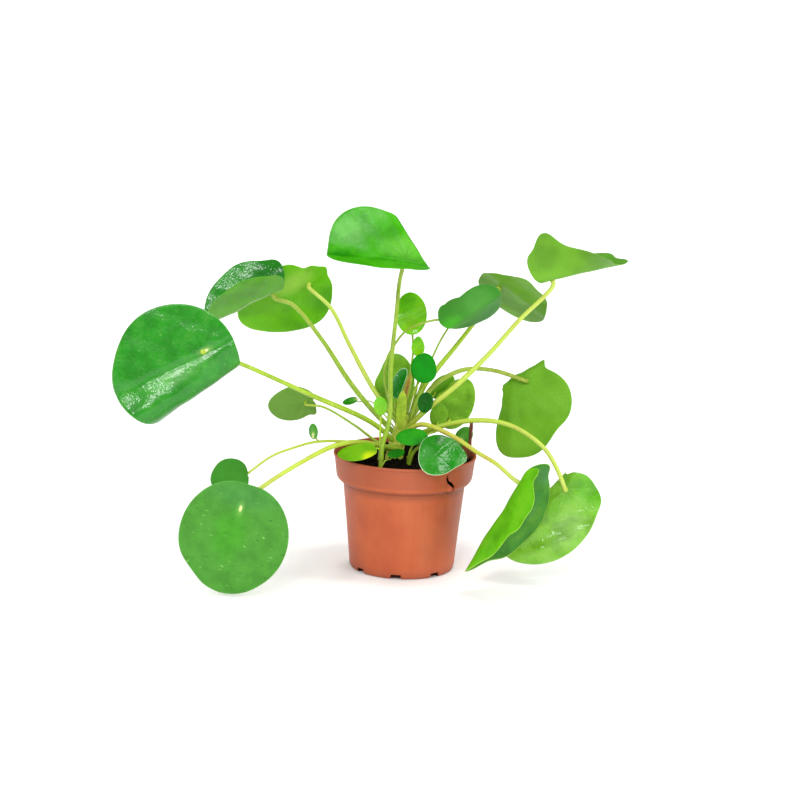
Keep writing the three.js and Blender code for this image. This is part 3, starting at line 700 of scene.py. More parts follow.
# %% Leaves on the left
leaves = [
    {
        "name": "far_left", "at": [-161, -90, 195], "tip": [-0.88, 0, -0.47], "face": [0.05, -1, 0.25],
        "long": 103, "wide": 96, "joint": 0.25, "left": {"turn": 115, "from": 6, "over": 30, "slant": 0.2},
        "rim": [[-25, -0.04, 22]],
        "look": "dark", "thick": 4.2,
        "stalk": [[-7, -2, 106], [-28, -7, 124], [-78, -32, 151], [-138, -68, 184]],
    },
    {
        "name": "folded_left", "at": [-116, 35, 224], "tip": [-0.87, -0.1, -0.45], "face": [0, 0, 1],
        "long": 76, "wide": 82, "joint": 0.2, "left": {"turn": -42, "over": 8},
        "right": {"turn": -66, "over": 8},
        "rim": [[175, -0.62, 36], [236, 0.46, 22], [118, 0.3, 18], [-50, -0.08, 22]],
        "look": "dark", "thick": 4.4,
        "stalk": [[-6, 3, 110], [-33, 10, 136], [-50, 14, 156], [-72, 24, 186], [-99, 34, 215]],
    },
    {
        "name": "bright_left", "at": [-87.5, 75, 227], "tip": [-0.82, 0.25, -0.56], "face": [0, 0.84, 0.54],
        "long": 87, "wide": 82, "joint": 0.21,
        "rim": [[70, -0.26, 35], [112, -0.3, 22], [168, 0.21, 12], [250, -0.1, 35], [322, -0.07, 22],
            [0, 0.06, 12]],
        "look": "bright", "thick": 4,
        "stalk": [[-4, 6, 118], [-28, 18, 147], [-50, 38, 181], [-68, 62, 209]],
    },
    {
        "name": "low_left", "at": [-127.5, -112, 77], "tip": [-0.22, -0.02, -1], "face": [0.05, -1, 0.05],
        "long": 94, "wide": 86, "joint": 0.225, "bow": [10, 20],
        "rim": [[175, -0.13, 45], [-24, -0.035, 12]],
        "look": "mid", "thick": 4.2,
        "stalk": [[-8, -6, 102], [-36, -24, 111], [-56, -45, 113], [-81, -74, 106], [-112, -100, 90]],
    },
    {
        "name": "behind_low_left", "at": [-128, -68, 91], "tip": [-0.9, -0.3, -0.05],
        "face": [-0.3, -0.9, 0.3], "long": 34, "wide": 30, "joint": 0.14,
        "rim": [[-15, -0.06, 20], [180, -0.66, 48], [120, -0.25, 25], [-120, -0.25, 25]],
        "look": "dark", "thick": 2.4,
        "stalk": [[-9, 0, 98], [-44, -12, 108], [-72, -26, 111], [-91, -42, 109], [-109, -56, 104]],
    },
]

# %% [markdown]
# The upper leaves stand behind the middle of the plant, on thin stalks.

# %% Upper leaves
leaves += [
    {
        "name": "upper_dark", "at": [35, -8, 215], "tip": [0.8, 0.35, 0.5], "face": [-0.1, -0.75, 0.65],
        "long": 57, "wide": 46, "joint": 0.2, "right": {"turn": 95, "over": 8},
        "rim": [[60, -0.42, 30], [36, -0.18, 14], [125, -0.1, 40], [-120, -0.3, 40], [-40, 0.5, 20]],
        "look": "dark", "thick": 2.2,
        "stalk": [[-2, 3, 118], [-14, 10, 138], [-19, 12, 157], [-18, 12, 174], [-12, 10, 187], [-3, 6, 200],
            [10, 0, 208], [23, -3, 212]],
    },
    {
        "name": "hidden_upper", "at": [36, 30, 211], "tip": [0.7, 0.3, 0.5], "face": [-0.1, -0.6, 0.75],
        "long": 30, "wide": 28, "joint": 0.3, "look": "mid", "thick": 2,
        "stalk": [[1, 8, 124], [9, 14, 145], [21, 22, 177], [27, 26, 190]],
    },
    {
        "name": "behind_upper", "at": [76, 56, 232], "tip": [0.75, 0.1, -0.55], "face": [0.5, 0.5, 0.7],
        "long": 68, "wide": 62, "joint": 0.3,
        "rim": [[-84, 0.46, 14], [-58, 0.28, 20], [-8, -0.03, 14], [35, 0.06, 25], [160, -0.1, 30]],
        "look": "olive", "thick": 4.4,
        "stalk": [[0, 6, 120], [16, 18, 155], [25, 24, 166], [41, 34, 185], [53, 42, 200]],
    },
    {
        "name": "small_bright", "at": [2.2, 22, 203.4], "tip": [-0.1, 0.2, 1], "face": [0, -1, 0.1],
        "long": 35, "wide": 26, "joint": 0.25, "look": "bright", "thick": 2.2,
        "stalk": [[-1, 8, 126], [2, 20, 160], [4, 26, 180], [3, 27, 194]],
    },
]

# %% [markdown]
# On the right two leaves hang with their undersides to the camera, one is folded along its midrib, and
# the highest one is half folded.

# %% Leaves on the right
leaves += [
    {
        "name": "right", "at": [102, 44, 154], "tip": [0, -0.2, -0.97], "face": [0.3, 0.95, -0.1],
        "long": 78, "wide": 76, "joint": 0.18, "curl": {"dir": 147, "from": 3.5, "over": 8, "turn": -95},
        "rim": [[60, -0.46, 24], [80, -0.12, 8], [40, -0.15, 10], [18, 0.08, 12], [215, 0.46, 13],
            [270, 0.17, 28], [-33, -0.12, 17]],
        "look": "olive", "thick": 4.2,
        "stalk": [[0, 5, 118], [19, 14, 149], [28, 18, 157], [48, 28, 165], [74, 38, 163]],
    },
    {
        "name": "top_right", "at": [118, 22, 245], "tip": [0.97, 0, 0.27], "face": [0, -0.2, 0.98],
        "long": 87, "wide": 82, "joint": 0.24, "right": {"turn": -97, "over": 10, "grow": -0.013},
        "rim": [[-90, 0.33, 14], [-60, -0.14, 22], [-118, 0.15, 14], [-130, 0.12, 18], [180, -0.58, 38],
            [14, -0.1, 10], [-16, -0.16, 12]],
        "look": "olive", "thick": 4.4,
        "stalk": [[-2, 0, 116], [17, -2, 136], [41, 0, 157], [67, 6, 183], [91, 12, 211]],
    },
    {
        "name": "folded_right", "at": [92, -76, 94], "tip": [-0.48, 0, -0.88], "face": [0.81, -0.29, -0.5],
        "long": 104, "wide": 82, "joint": 0.21, "left": {"turn": -42, "over": 8},
        "right": {"turn": -50, "over": 8},
        "rim": [[180, -0.62, 26], [140, 0.3, 16], [92, 0.1, 30], [218, 0.22, 14], [-58, -0.2, 20],
            [-33, -0.24, 14], [-112, -0.27, 30], [62, 0.07, 30], [14, -0.1, 10], [-12, -0.14, 10]],
        "point": 0.09, "look": "bright", "thick": 4,
        "stalk": [[-5, -4, 112], [12, -16, 126], [36, -33, 122], [59, -52, 112], [74, -65, 106]],
    },
    {
        "name": "low_right", "at": [132, -44, 82], "tip": [-0.66, 0, -0.75], "face": [0.1, 0.95, -0.1],
        "long": 95, "wide": 80, "joint": 0.23, "left": {"turn": -95, "over": 14},
        "rim": [[-118, 0.12, 18], [165, -0.22, 25], [132, -0.42, 24]],
        "look": "bright", "thick": 4.2,
        "stalk": [[-3, -1, 108], [28, -8, 123], [59, -20, 132], [86, -32, 131], [112, -46, 117],
            [124, -54, 100]],
    },
]

# %% [markdown]
# In the heart of the plant the leaves are young, small and partly hidden.

# %% Leaves in the heart of the plant
leaves += [
    {
        "name": "inner_right", "at": [37, 33, 120], "tip": [0.25, 0.1, 0.95], "face": [0.1, 0.95, 0.2],
        "long": 48, "wide": 33, "joint": 0.16, "rim": [[-3, -0.11, 12], [-25, -0.2, 14], [-100, 0.2, 20]],
        "look": "olive", "thick": 2.6,
        "stalk": [[-4, 4, 104], [8, 12, 110], [26, 24, 112]],
    },
    {
        "name": "small_left", "at": [-86.8, 52, 128.2], "tip": [-1, 0.1, -0.15], "face": [0, 0.93, 0.36],
        "long": 42, "wide": 33, "joint": 0.22,
        "rim": [[180, -0.3, 20], [28, -0.1, 28], [-42, 0.13, 34], [-115, 0.35, 16]],
        "look": "olive", "thick": 2.4,
        "stalk": [[-8, 6, 98], [-25, 26, 101], [-44, 36, 112], [-72, 46, 125]],
    },
    {
        "name": "inner_dark", "at": [14, 0, 168], "tip": [-0.1, 0, 1], "face": [0.05, -1, 0.1],
        "long": 25, "wide": 22.5, "joint": 0.4, "rim": [[-72, -0.14, 40]], "look": "dark", "thick": 2.2,
        "stalk": [[-1, 4, 124], [6, 6, 150], [11, 8, 160]],
    },
    {
        "name": "inner_back", "at": [-10, 30, 134], "tip": [-0.05, 0.05, 1], "face": [0, 0.95, 0.2],
        "long": 56, "wide": 34, "joint": 0.2, "rim": [[0, -0.07, 20], [-24, -0.14, 15]],
        "look": "olive", "thick": 2.4,
        "stalk": [[-5, 6, 106], [-8, 14, 118], [-10, 22, 126]],
    },
    {
        "name": "bud_upper", "at": [8, 16, 179], "tip": [0, 0.1, 1], "face": [0, -1, 0.1], "fused": True,
        "long": 14, "wide": 11, "joint": 0.1, "point": 0.2, "look": "bright", "thick": 1.8,
        "stalk": [[2, 8, 126], [8, 16, 150], [9, 18, 168]],
    },
    {
        "name": "inner_right_low", "at": [27, 25, 119], "tip": [0.1, 0.1, 1], "face": [0, 0.95, 0.2],
        "fused": True, "long": 20, "wide": 15, "joint": 0.2, "look": "olive", "thick": 1.8,
        "stalk": [[0, 0, 106], [14, 6, 110], [23, 16, 114]],
    },
    {
        "name": "inner_right_high", "at": [24, 44, 141], "tip": [0.7, 0, 0.7], "face": [0, 0.95, 0.2],
        "fused": True, "long": 26, "wide": 16, "joint": 0.2, "look": "olive", "thick": 1.8,
        "stalk": [[-4, 4, 112], [2, 14, 117], [10, 25, 125], [19, 37, 135]],
    },
    {
        "name": "inner_folded", "at": [-9, 0, 147], "tip": [0.3, 0, 0.95], "face": [-0.5, -0.8, 0],
        "fused": True,
        "long": 26, "wide": 14, "joint": 0.1, "left": {"turn": -50, "over": 4},
        "right": {"turn": -50, "over": 4}, "look": "dark", "thick": 1.8,
        "stalk": [[-3, 3, 124], [-7, 4, 136]],
    },
    {
        "name": "inner_small_dark", "at": [16, -8, 149], "tip": [-0.1, 0, -1], "face": [0.2, -0.95, 0.1],
        "fused": True, "long": 17, "wide": 13, "joint": 0.15, "look": "dark", "thick": 1.8,
        "stalk": [[3, 1, 124], [8, -2, 140], [13, -4, 147]],
    },
    {
        "name": "thin_left", "at": [-43, 34, 135], "tip": [-1, 0, -0.3], "face": [0, -0.4, 0.9],
        "fused": True, "long": 13, "wide": 10, "joint": 0.1, "look": "dark", "thick": 1.3,
        "stalk": [[-5, 4, 112], [-20, 16, 128], [-31, 28, 135]],
    },
    {
        "name": "behind_right", "at": [46, 32, 101], "tip": [0.6, 0, 0.8], "face": [0, -0.9, 0.4],
        "fused": True, "long": 18, "wide": 14, "joint": 0.15, "look": "mid", "thick": 1.8,
        "stalk": [[38, 30, 84], [41, 31, 94]],
    },
    {
        "name": "bud_left", "at": [-76, -29, 115], "tip": [0, -0.1, 1], "face": [-0.5, -0.8, 0.1],
        "fused": True, "long": 13, "wide": 9, "joint": 0.1, "look": "mid", "thick": 1.4,
        "stalk": [[-72, -26, 111], [-73, -27, 113]],
    },
]

# %% [markdown]
# Two young shoots come up beside the main stem, with leaves of their own, and two scales sheath the roots
# of the stalks.

# %% Shoots and scales
shoots = [
    {
        "name": "front_left", "thick": 3.4, "stem": [[-20, -38, 78], [-20, -38, 92], [-20, -37, 108]],
        "leaves": [
            {
                "name": "top", "at": [-5, -24, 265], "tip": [-0.97, 0, 0.13], "face": [0, -0.9, 0.3],
                "long": 86, "wide": 82, "joint": 0.25, "left": {"turn": -68, "over": 5},
                "curl": {"dir": 220, "from": 5.5, "over": 12, "turn": 95},
                "rim": [[-63, -0.14, 15], [-78, -0.08, 9], [-27, 0.05, 16], [0, -0.04, 12], [85, -0.1, 30],
                    [150, 0.05, 25]],
                "look": "mid", "thick": 4,
                "stalk": [[-20, -37, 100], [-19, -37, 112], [-14, -35, 133], [-14, -27, 176], [-11, -15, 217],
                    [-9, -9, 245]],
            },
            {
                "name": "rim_left", "at": [-27, -42, 110], "tip": [-1, -0.25, -0.2], "face": [0, -0.5, 0.85],
                "long": 35, "wide": 19, "joint": 0.15, "rim": [[8, -0.07, 14], [180, -0.5, 50]],
                "look": "bright", "thick": 1.6,
                "stalk": [[-20, -37, 107], [-23, -39, 110]],
            },
            {
                "name": "shoot_left", "at": [-21, -34, 139], "tip": [-0.1, 0, 1], "face": [-0.1, -0.9, 0.4],
                "long": 15, "wide": 11, "joint": 0.15, "look": "mid", "thick": 1.8,
                "stalk": [[-20, -37, 106], [-21, -35, 120], [-21, -33, 132]],
            },
            {
                "name": "soil_level", "at": [-13, -31, 103], "tip": [1, 0.2, 0.2], "face": [0, -0.6, 0.8],
                "long": 14, "wide": 9, "joint": 0.1, "look": "mid", "thick": 1.6,
                "stalk": [[-20, -38, 92], [-17, -35, 98]],
            },
        ],
    },
    {
        "name": "front_centre", "thick": 3.2, "stem": [[3, -22, 78], [3, -22, 92], [3, -22, 100]],
        "leaves": [
            {
                "name": "rim_right", "at": [39, -41, 116.5], "tip": [-0.65, -0.6, -0.45],
                "face": [0.05, -0.7, 0.75], "long": 42, "wide": 42, "joint": 0.07,
                "rim": [[-30, -0.15, 28], [45, -0.18, 20], [88, 0.3, 18]],
                "look": "dark", "thick": 2.8,
                "stalk": [[3, -22, 92], [8, -25, 106], [22, -30, 115], [33, -33, 117]],
            },
            {
                "name": "front", "at": [9, -30, 119], "tip": [-1, -0.2, -0.1], "face": [0, -0.6, 0.8],
                "long": 26, "wide": 18, "joint": 0.35, "look": "mid", "thick": 2.4,
                "stalk": [[3, -22, 92], [4, -24, 104], [6, -25, 110]],
            },
        ],
    },
]

scales = [
    {
        "name": "scale_brown", "at": [-3, -4.75, 140], "tip": [0.2, 0, 1], "face": [0, -1, 0],
        "long": 26, "wide": 6, "joint": 0.1, "point": 0.2, "look": "brown",
    },
    {
        "name": "scale_yellow", "at": [-5, -5.5, 122], "tip": [0.05, -0.02, 1], "face": [0, -1, 0],
        "long": 28, "wide": 8, "joint": 0.1, "point": 0.2, "look": "green",
    },
]

dry_stick = [(52.5, 8, 84), (54, 7.5, 100), (55, 7, 127)]
dry_stick_radius = 1.5
stem_path = [(-10, -2, 68), (-9, -1, 95), (-5, 2, 114), (-1, 5, 130)]
stem_radii = [6.5, 7.5, 6.5, 4.5]
print("leaves:", len(leaves), "shoots:", len(shoots))

# %% [markdown]
# ## A blade as a bent sheet
#
# A round leaf that hangs, folds and rolls could be sculpted, but its bends follow simple rules.
# A flat point, u mm towards the tip and v mm to the left of the midrib, is carried onto the bent sheet.
# A strip that bends away is followed in short steps, so the blade keeps its length however far it rolls.

# %% Bends
blade_thickness = 0.8
neck_length = 5
bend_steps = 36
usual_bend_width = 20
growth_ends_behind = -10


def unit(vector):
    return np.array(vector, float) / np.linalg.norm(vector)


def strip(slope_at, length):
    """How far strips of these lengths reach out and sink, when slope_at gives their slope."""
    middles = (np.arange(bend_steps)[:, None] + 0.5) / bend_steps * length
    slope = slope_at(middles)
    return np.cos(slope).mean(0) * length, np.sin(slope).mean(0) * length


def side_slope(side, along, distance):
    start = np.maximum(0, side.get("from", 0) + side.get("slant", 0) * along)
    growth = np.maximum(0, 1 + side.get("grow", 0) * np.maximum(along, growth_ends_behind))
    share = np.clip((distance - start) / side.get("over", usual_bend_width), 0, 1)
    return np.radians(side.get("turn", 0) * growth) * share

# %% The sheet
def sheet_points(leaf, u, v):
    tip = unit(leaf["tip"])
    face = np.array(leaf["face"], float)
    face = unit(face - face.dot(tip) * tip)
    left = np.cross(face, tip)
    droop = np.where(u > 0, *leaf.get("bow", (0, 0))) * math.pi / 180 / leaf["long"] + 1e-9
    bow = droop * np.abs(u)
    run, drop = np.sin(bow) / droop, (1 - np.cos(bow)) / droop
    reach, sink = np.zeros_like(u), np.zeros_like(u)
    for chosen, side in ((v > 0, leaf.get("left")), (v <= 0, leaf.get("right"))):
        out, down = strip(lambda d: side_slope(side or {}, u, d), np.abs(v))
        reach, sink = np.where(chosen, out, reach), np.where(chosen, down, sink)
    points = np.array(leaf["at"], float) + np.outer(np.sign(u) * (run - sink * np.sin(bow)), tip)
    points += np.outer(-drop - sink * np.cos(bow), face) + np.outer(np.sign(v) * reach, left)
    curl = leaf.get("curl")
    if curl:
        way = math.radians(curl["dir"])
        past = np.maximum(0, u * math.cos(way) + v * math.sin(way) - curl["from"])
        slope = math.radians(curl["turn"])
        out, down = strip(lambda d: slope * np.minimum(1, d / curl["over"]), past)
        points += np.outer(out - past, math.cos(way) * tip + math.sin(way) * left) - np.outer(down, face)
    return points


def normals_at(leaf, u, v, step=0.05):
    du = sheet_points(leaf, u + step, v) - sheet_points(leaf, u - step, v)
    dv = sheet_points(leaf, u, v + step) - sheet_points(leaf, u, v - step)
    normal = np.cross(du, dv)
    return normal / np.linalg.norm(normal, axis=1)[:, None]

# %% [markdown]
# The leaf's outline is an ellipse that is measured from the stalk's joint, with a slight tip. A few
# leaves draw in or run out at places, which the table's rim entries give as an angle, a share and a spread.

# %% The outline
usual_point = 0.02
point_sharpness = 24


def edge_distance(leaf, angle):
    a, b = leaf["long"] / 2, leaf["wide"] / 2
    ahead = (0.5 - leaf["joint"]) * leaf["long"]
    c, s = np.cos(angle), np.sin(angle)
    p = (c / a) ** 2 + (s / b) ** 2
    q = ahead * c / a ** 2
    edge = (q + np.sqrt(q * q - p * ((ahead / a) ** 2 - 1))) / p
    shaped = leaf.get("point", usual_point) * np.maximum(0, c) ** point_sharpness
    for at, share, spread_of in leaf.get("rim", []):
        away = (np.degrees(angle) - at + 180) % 360 - 180
        shaped = shaped + share * np.exp(-(away / spread_of) ** 2)
    return edge * (1 + shaped)

# %% [markdown]
# ## Veins and swellings in the mesh
#
# From the joint, veins fan out to the rim. They are sunk a little on the upper side and stand out below,
# and between them the blade swells. Both are moved in the mesh, because a bump alone leaves the outline
# and the highlights flat. The shader later draws the same fan of veins.
#
# Some leaves have folds of their own, each a soft ridge or valley across one direction: the direction as
# an angle from the tip, its distance from the joint, its width and its height.

# %% Relief
usual_length = 90
vein_angles = [0, 27, -27, 58, -58, 95, -95, 135, -135, 172]
groove_width, groove_depth = 1.5, 0.08
swell_height, small_swell_height = 0.3, 0.12
ripple_height, ripple_count = 0.25, 5
own_folds = {
    "far_left": [(90, 1.5, 3.5, -1.2), (90, 24, 10, 4.2), (-60, 30, 16, -1.2), (-20, 45, 10, 0.8)],
    "folded_left": [(0, 20, 5, 0.5), (0, 36, 6, -0.5), (-90, 18, 6, 0.8), (180, 17, 12, -2.2)],
    "bright_left": [(109, 26, 12, 2.5), (-71, 24, 12, 1.6)],
    "low_left": [(-35, 46, 8, 1.0), (60, 30, 12, -0.6)],
    "behind_upper": [(-90, 12, 6, -1.2), (-90, 28, 6, 1.0)],
    "top": [(90, 0.5, 2.4, 0.45), (0, 66, 26, -4.0)],
    "right": [(90, 12, 5, -1.2), (0, 30, 14, -1.0)],
    "folded_right": [(0, 25, 8, 0.6), (0, 50, 8, -0.6)],
    "low_right": [(-68, 37.5, 5, -2.6), (-85, 18, 6, 0.9), (-40, 20, 5, -0.8), (-20, 34, 6, 0.9)],
    "small_bright": [(20, 7, 3, 0.9), (180, 4, 3, -0.5)],
    "rim_right": [(90, -3, 2.6, 0.6), (-50, 14, 6, 0.5)],
    "inner_right": [(0, 20, 4, 0.5)],
}


def along_and_beside(u, v, degrees):
    """How far a point of the flat leaf lies along a direction from the joint, and to the left of it."""
    a = math.radians(degrees)
    return u * math.cos(a) + v * math.sin(a), v * math.cos(a) - u * math.sin(a)


def relief(leaf, u, v, share):
    size = leaf["long"] / usual_length
    distance = np.hypot(u, v)
    grooves = np.zeros_like(u)
    for degrees in vein_angles:
        forward, beside = along_and_beside(u, v, degrees)
        grooves = np.maximum(grooves, np.exp(-(beside / (groove_width * size)) ** 2) * (forward > 0))
    grooves *= smooth_step(distance, 2, 8 * size) * (1 - smooth_step(share, 0.1, 0.75))
    seed = sum(map(ord, leaf["name"]))
    waves = np.sin(u * 0.11 / size + seed) * np.sin(v * 0.13 / size + 2 * seed)
    swell = swell_height * waves + small_swell_height * np.sin((u + v) * 0.29 / size + seed)
    ripple = ripple_height * share ** 3 * np.sin(ripple_count * np.arctan2(v, u) + seed)
    folds = sum(height * np.exp(-((along_and_beside(u, v, way)[0] - at) / wide) ** 2)
                for way, at, wide, height in own_folds.get(leaf["name"], []))
    return size * (-groove_depth * grooves + (swell + ripple) * smooth_step(share, 0.1, 0.5)) + folds

# %% [markdown]
# ## Building a blade
#
# The blade's points lie on rings round the joint. The upper and lower face have the same points, half
# the thickness apart, and the blade thins towards its rim, which is closed by one rounded row.
# Each point keeps its place on the flat leaf as an attribute, with the side it is on and how near to the
# rim it lies, so that a material can follow the leaf however it bends.

# %% A blade's points
blade_grids = [(45, 150, 34), (28, 96, 20), (0, 60, 12)]
rim_round = 0.2
rim_thinning = 0.5


def blade_grid(leaf):
    """The flat leaf's points: their places, how near to the rim each lies, and the count of both ways."""
    sectors, rings = next(grid for least, *grid in blade_grids if leaf["long"] > least)
    angle = np.tile(np.arange(sectors) / sectors * 2 * math.pi, rings)
    share = np.repeat((np.arange(rings) + 1) / rings, sectors)
    distance = share * edge_distance(leaf, angle)
    u = np.append(distance * np.cos(angle), 0)
    v = np.append(distance * np.sin(angle), 0)
    return u, v, np.append(share, 0), sectors, rings


def blade_faces(sectors, rings):
    """Faces for the upper points, then the lower ones, then the row round the rim."""
    count = sectors * rings + 1
    edge = (rings - 1) * sectors
    faces = []
    for j in range(sectors):
        k = (j + 1) % sectors
        faces += [(count - 1, j, k), (2 * count - 1, count + k, count + j)]
        for a in range(0, edge, sectors):
            b = a + sectors
            faces += [(a + j, b + j, b + k, a + k),
                      (count + a + j, count + a + k, count + b + k, count + b + j)]
        faces += [(edge + j, 2 * count + j, 2 * count + k, edge + k),
                  (2 * count + j, count + edge + j, count + edge + k, 2 * count + k)]
    return faces

# %% Blades
def store(thing, name, values, kind):
    layer = thing.data.attributes.new(name, kind, "POINT")
    layer.data.foreach_set("vector" if kind == "FLOAT_VECTOR" else "value", np.asarray(values, float).ravel())


def blade(leaf, finish):
    u, v, share, sectors, rings = blade_grid(leaf)
    normal = normals_at(leaf, u, v)
    middle = sheet_points(leaf, u, v) + relief(leaf, u, v, share)[:, None] * normal
    half = blade_thickness / 2 * (1 - rim_thinning * share ** 6)[:, None]
    outer = slice((rings - 1) * sectors, rings * sectors)
    inner = slice((rings - 2) * sectors, (rings - 1) * sectors)
    outward = middle[outer] - middle[inner]
    outward /= np.linalg.norm(outward, axis=1)[:, None]
    rim = middle[outer] + rim_round * outward
    points = np.vstack([middle + half * normal, middle - half * normal, rim])
    thing = mesh_object("blade", points, blade_faces(sectors, rings), [finish])
    above, below, on_edge = np.ones(len(u)), -np.ones(len(u)), np.zeros(sectors)
    store(thing, "on_leaf", np.vstack([
        np.column_stack([u, v, above]), np.column_stack([u, v, below]),
        np.column_stack([u[outer], v[outer], on_edge])]), "FLOAT_VECTOR")
    store(thing, "to_rim", np.concatenate([share, share, np.ones(sectors)]), "FLOAT")
    return thing

# %% [markdown]
# ## The fan of veins as a node group
#
# The shader reads a point's place on the flat leaf, measures how far it is from each vein's line, and
# keeps the strongest. A little noise bends the lines, and they get thinner towards the rim.
# The group is made once and used by every leaf finish.

# %% Vein group
vein_width, vein_end_width, vein_reach = 1.0, 0.3, 55
vein_wander = 14


def vein_group():
    tree = bpy.data.node_groups.new("vein_fan", "ShaderNodeTree")
    tree.interface.new_socket("Place", in_out="INPUT", socket_type="NodeSocketVector")
    tree.interface.new_socket("Veins", in_out="OUTPUT", socket_type="NodeSocketFloat")
    given, answer = tree.nodes.new("NodeGroupInput"), tree.nodes.new("NodeGroupOutput")
    flat = vector_node(tree, "MULTIPLY", given.outputs[0], (1, 1, 0))
    bends = add(tree, "ShaderNodeTexNoise", 1, None, Vector=flat, Scale=0.06, Detail=2.0)
    bends = vector_node(tree, "SUBTRACT", bends, (0.5, 0.5, 0.5))
    far = vector_node(tree, "LENGTH", flat)
    bends = vector_node(tree, "SCALE", bends, Scale=spread(tree, far, 4, 40, 0, vein_wander))
    flat = vector_node(tree, "ADD", flat, bends)
    width = spread(tree, far, 0, vein_reach, vein_width, vein_end_width)
    strongest = None
    for a in map(math.radians, vein_angles):
        forward = vector_node(tree, "DOT_PRODUCT", flat, (math.cos(a), math.sin(a), 0))
        beside = vector_node(tree, "DOT_PRODUCT", flat, (-math.sin(a), math.cos(a), 0))
        near = spread(tree, math_node(tree, "ABSOLUTE", beside), width, 0.0)
        near = times(tree, near, math_node(tree, "GREATER_THAN", forward, 0.0))
        strongest = near if strongest is None else math_node(tree, "MAXIMUM", strongest, near)
    fade = spread(tree, far, 5, 40, 1.0, 0.15)
    tree.links.new(times(tree, strongest, fade), answer.inputs[0])
    return tree


vein_fan = vein_group()
print("vein group:", len(vein_fan.nodes), "nodes")

# %% [markdown]
# ## Leaf finishes
#
# The upper side of the leaf is glossy and deep green, and its veins hardly show: near the joint their sunk
# creases get fine dark lines of painted shade. The underside is paler and duller, with faint light veins.
# Soft patches lighten or darken it at places, each with its middle and reach on the flat leaf; on several
# looks they are painted light and shade, such as a painted sheen, a painted glare or painted shade by a
# fold. Slow noise mottles the blade, and noise that is stretched sideways adds short pale and dark dashes,
# which on two looks are painted glints.
# The glossiest leaves have a thin glaze with pimples of its own, which breaks the lamps into white glints
# over the soft shine below. Only old leaves show a pale dot over the joint, drawn out to one side.

# %% Where a point lies on its leaf
from types import SimpleNamespace


def leaf_places(tree, place, cloud, dash):
    """The results that say where a point lies on the flat leaf, and the noises that vary it there."""
    on_leaf = add(tree, "ShaderNodeAttribute", 1, {"attribute_name": "on_leaf"})
    flat = vector_node(tree, "MULTIPLY", on_leaf, (1, 1, 0))
    fan = tree.nodes.new("ShaderNodeGroup")
    fan.node_tree = vein_fan
    tree.links.new(on_leaf, fan.inputs[0])
    return SimpleNamespace(
        flat=flat,
        veins=fan.outputs[0],
        side=spread(tree, add(tree, "ShaderNodeSeparateXYZ", 2, None, Vector=on_leaf), -0.2, 0.2),
        far=vector_node(tree, "LENGTH", flat),
        to_rim=add(tree, "ShaderNodeAttribute", 2, {"attribute_name": "to_rim"}),
        slow=noise(tree, place, cloud, 3),
        quick=noise(tree, flat, 0.3, 4, 0.6),
        dashes=noise(tree, vector_node(tree, "MULTIPLY", flat, (1, 0.35, 0)), dash, 2))

# %% Patches and the dot over the joint
shade_tone = tone(168, 190, 130)
dot_tone = tone(236, 240, 160)
dot_stretch = 0.45


# Each patch paints light, shade or the leaf's own tone over the blade.
def with_light_shade_and_tone_patches(tree, at, body, patches):
    for colour, middle, reach, share in patches:
        offset = vector_node(tree, "SUBTRACT", at.flat, (*middle, 0))
        away = vector_node(tree, "LENGTH", vector_node(tree, "DIVIDE", offset, (*reach, 1)))
        body = blend_colours(tree, spread(tree, away, 1.25, 0.3, 0, share), body, colour)
    return body


def with_dot(tree, at, body, dot, veins):
    offset = vector_node(tree, "SUBTRACT", at.flat, (dot, 0, 0))
    away = vector_node(tree, "LENGTH", vector_node(tree, "MULTIPLY", offset, (dot_stretch, 1, 0)))
    return layered(tree, body, (times(tree, spread(tree, away, 4.5, 1.2, 0, 0.4), at.side), veins),
                   (times(tree, spread(tree, away, 1.7, 0.5), at.side), dot_tone))

# %% The leaf's colour
def leaf_colour(tree, at, top, under, veins, patches, mottle, flecks, vein_share, crease_shade, dot, rim):
    body = with_light_shade_and_tone_patches(tree, at, blend_colours(tree, at.side, under, top), patches)
    darker = blend_colours(tree, 1.0, body, shade_tone, "MULTIPLY")
    lighter = blend_colours(tree, 0.3, body, veins)
    below = math_node(tree, "SUBTRACT", 1.0, at.side)
    body = layered(
        tree, body,
        (spread(tree, at.slow, 0.56, 0.36, 0, mottle), darker),
        (spread(tree, at.slow, 0.5, 0.72, 0, mottle), lighter),
        (spread(tree, at.quick, 0.5, 0.75, 0, mottle / 2), lighter),
        (spread(tree, at.dashes, 0.66, 0.74, 0, flecks), veins),
        (spread(tree, at.dashes, 0.35, 0.27, 0, flecks), darker),
        (times(tree, at.veins, below, vein_share), veins),
        # Painted shade: fine dark lines in the veins' creases near the joint, on the upper side.
        (times(tree, at.veins, spread(tree, at.far, 26, 4, 0, crease_shade), at.side), darker))
    if dot:
        body = with_dot(tree, at, body, dot, veins)
    return blend_colours(tree, spread(tree, at.to_rim, 0.982, 1.0, 0, rim), body, veins)

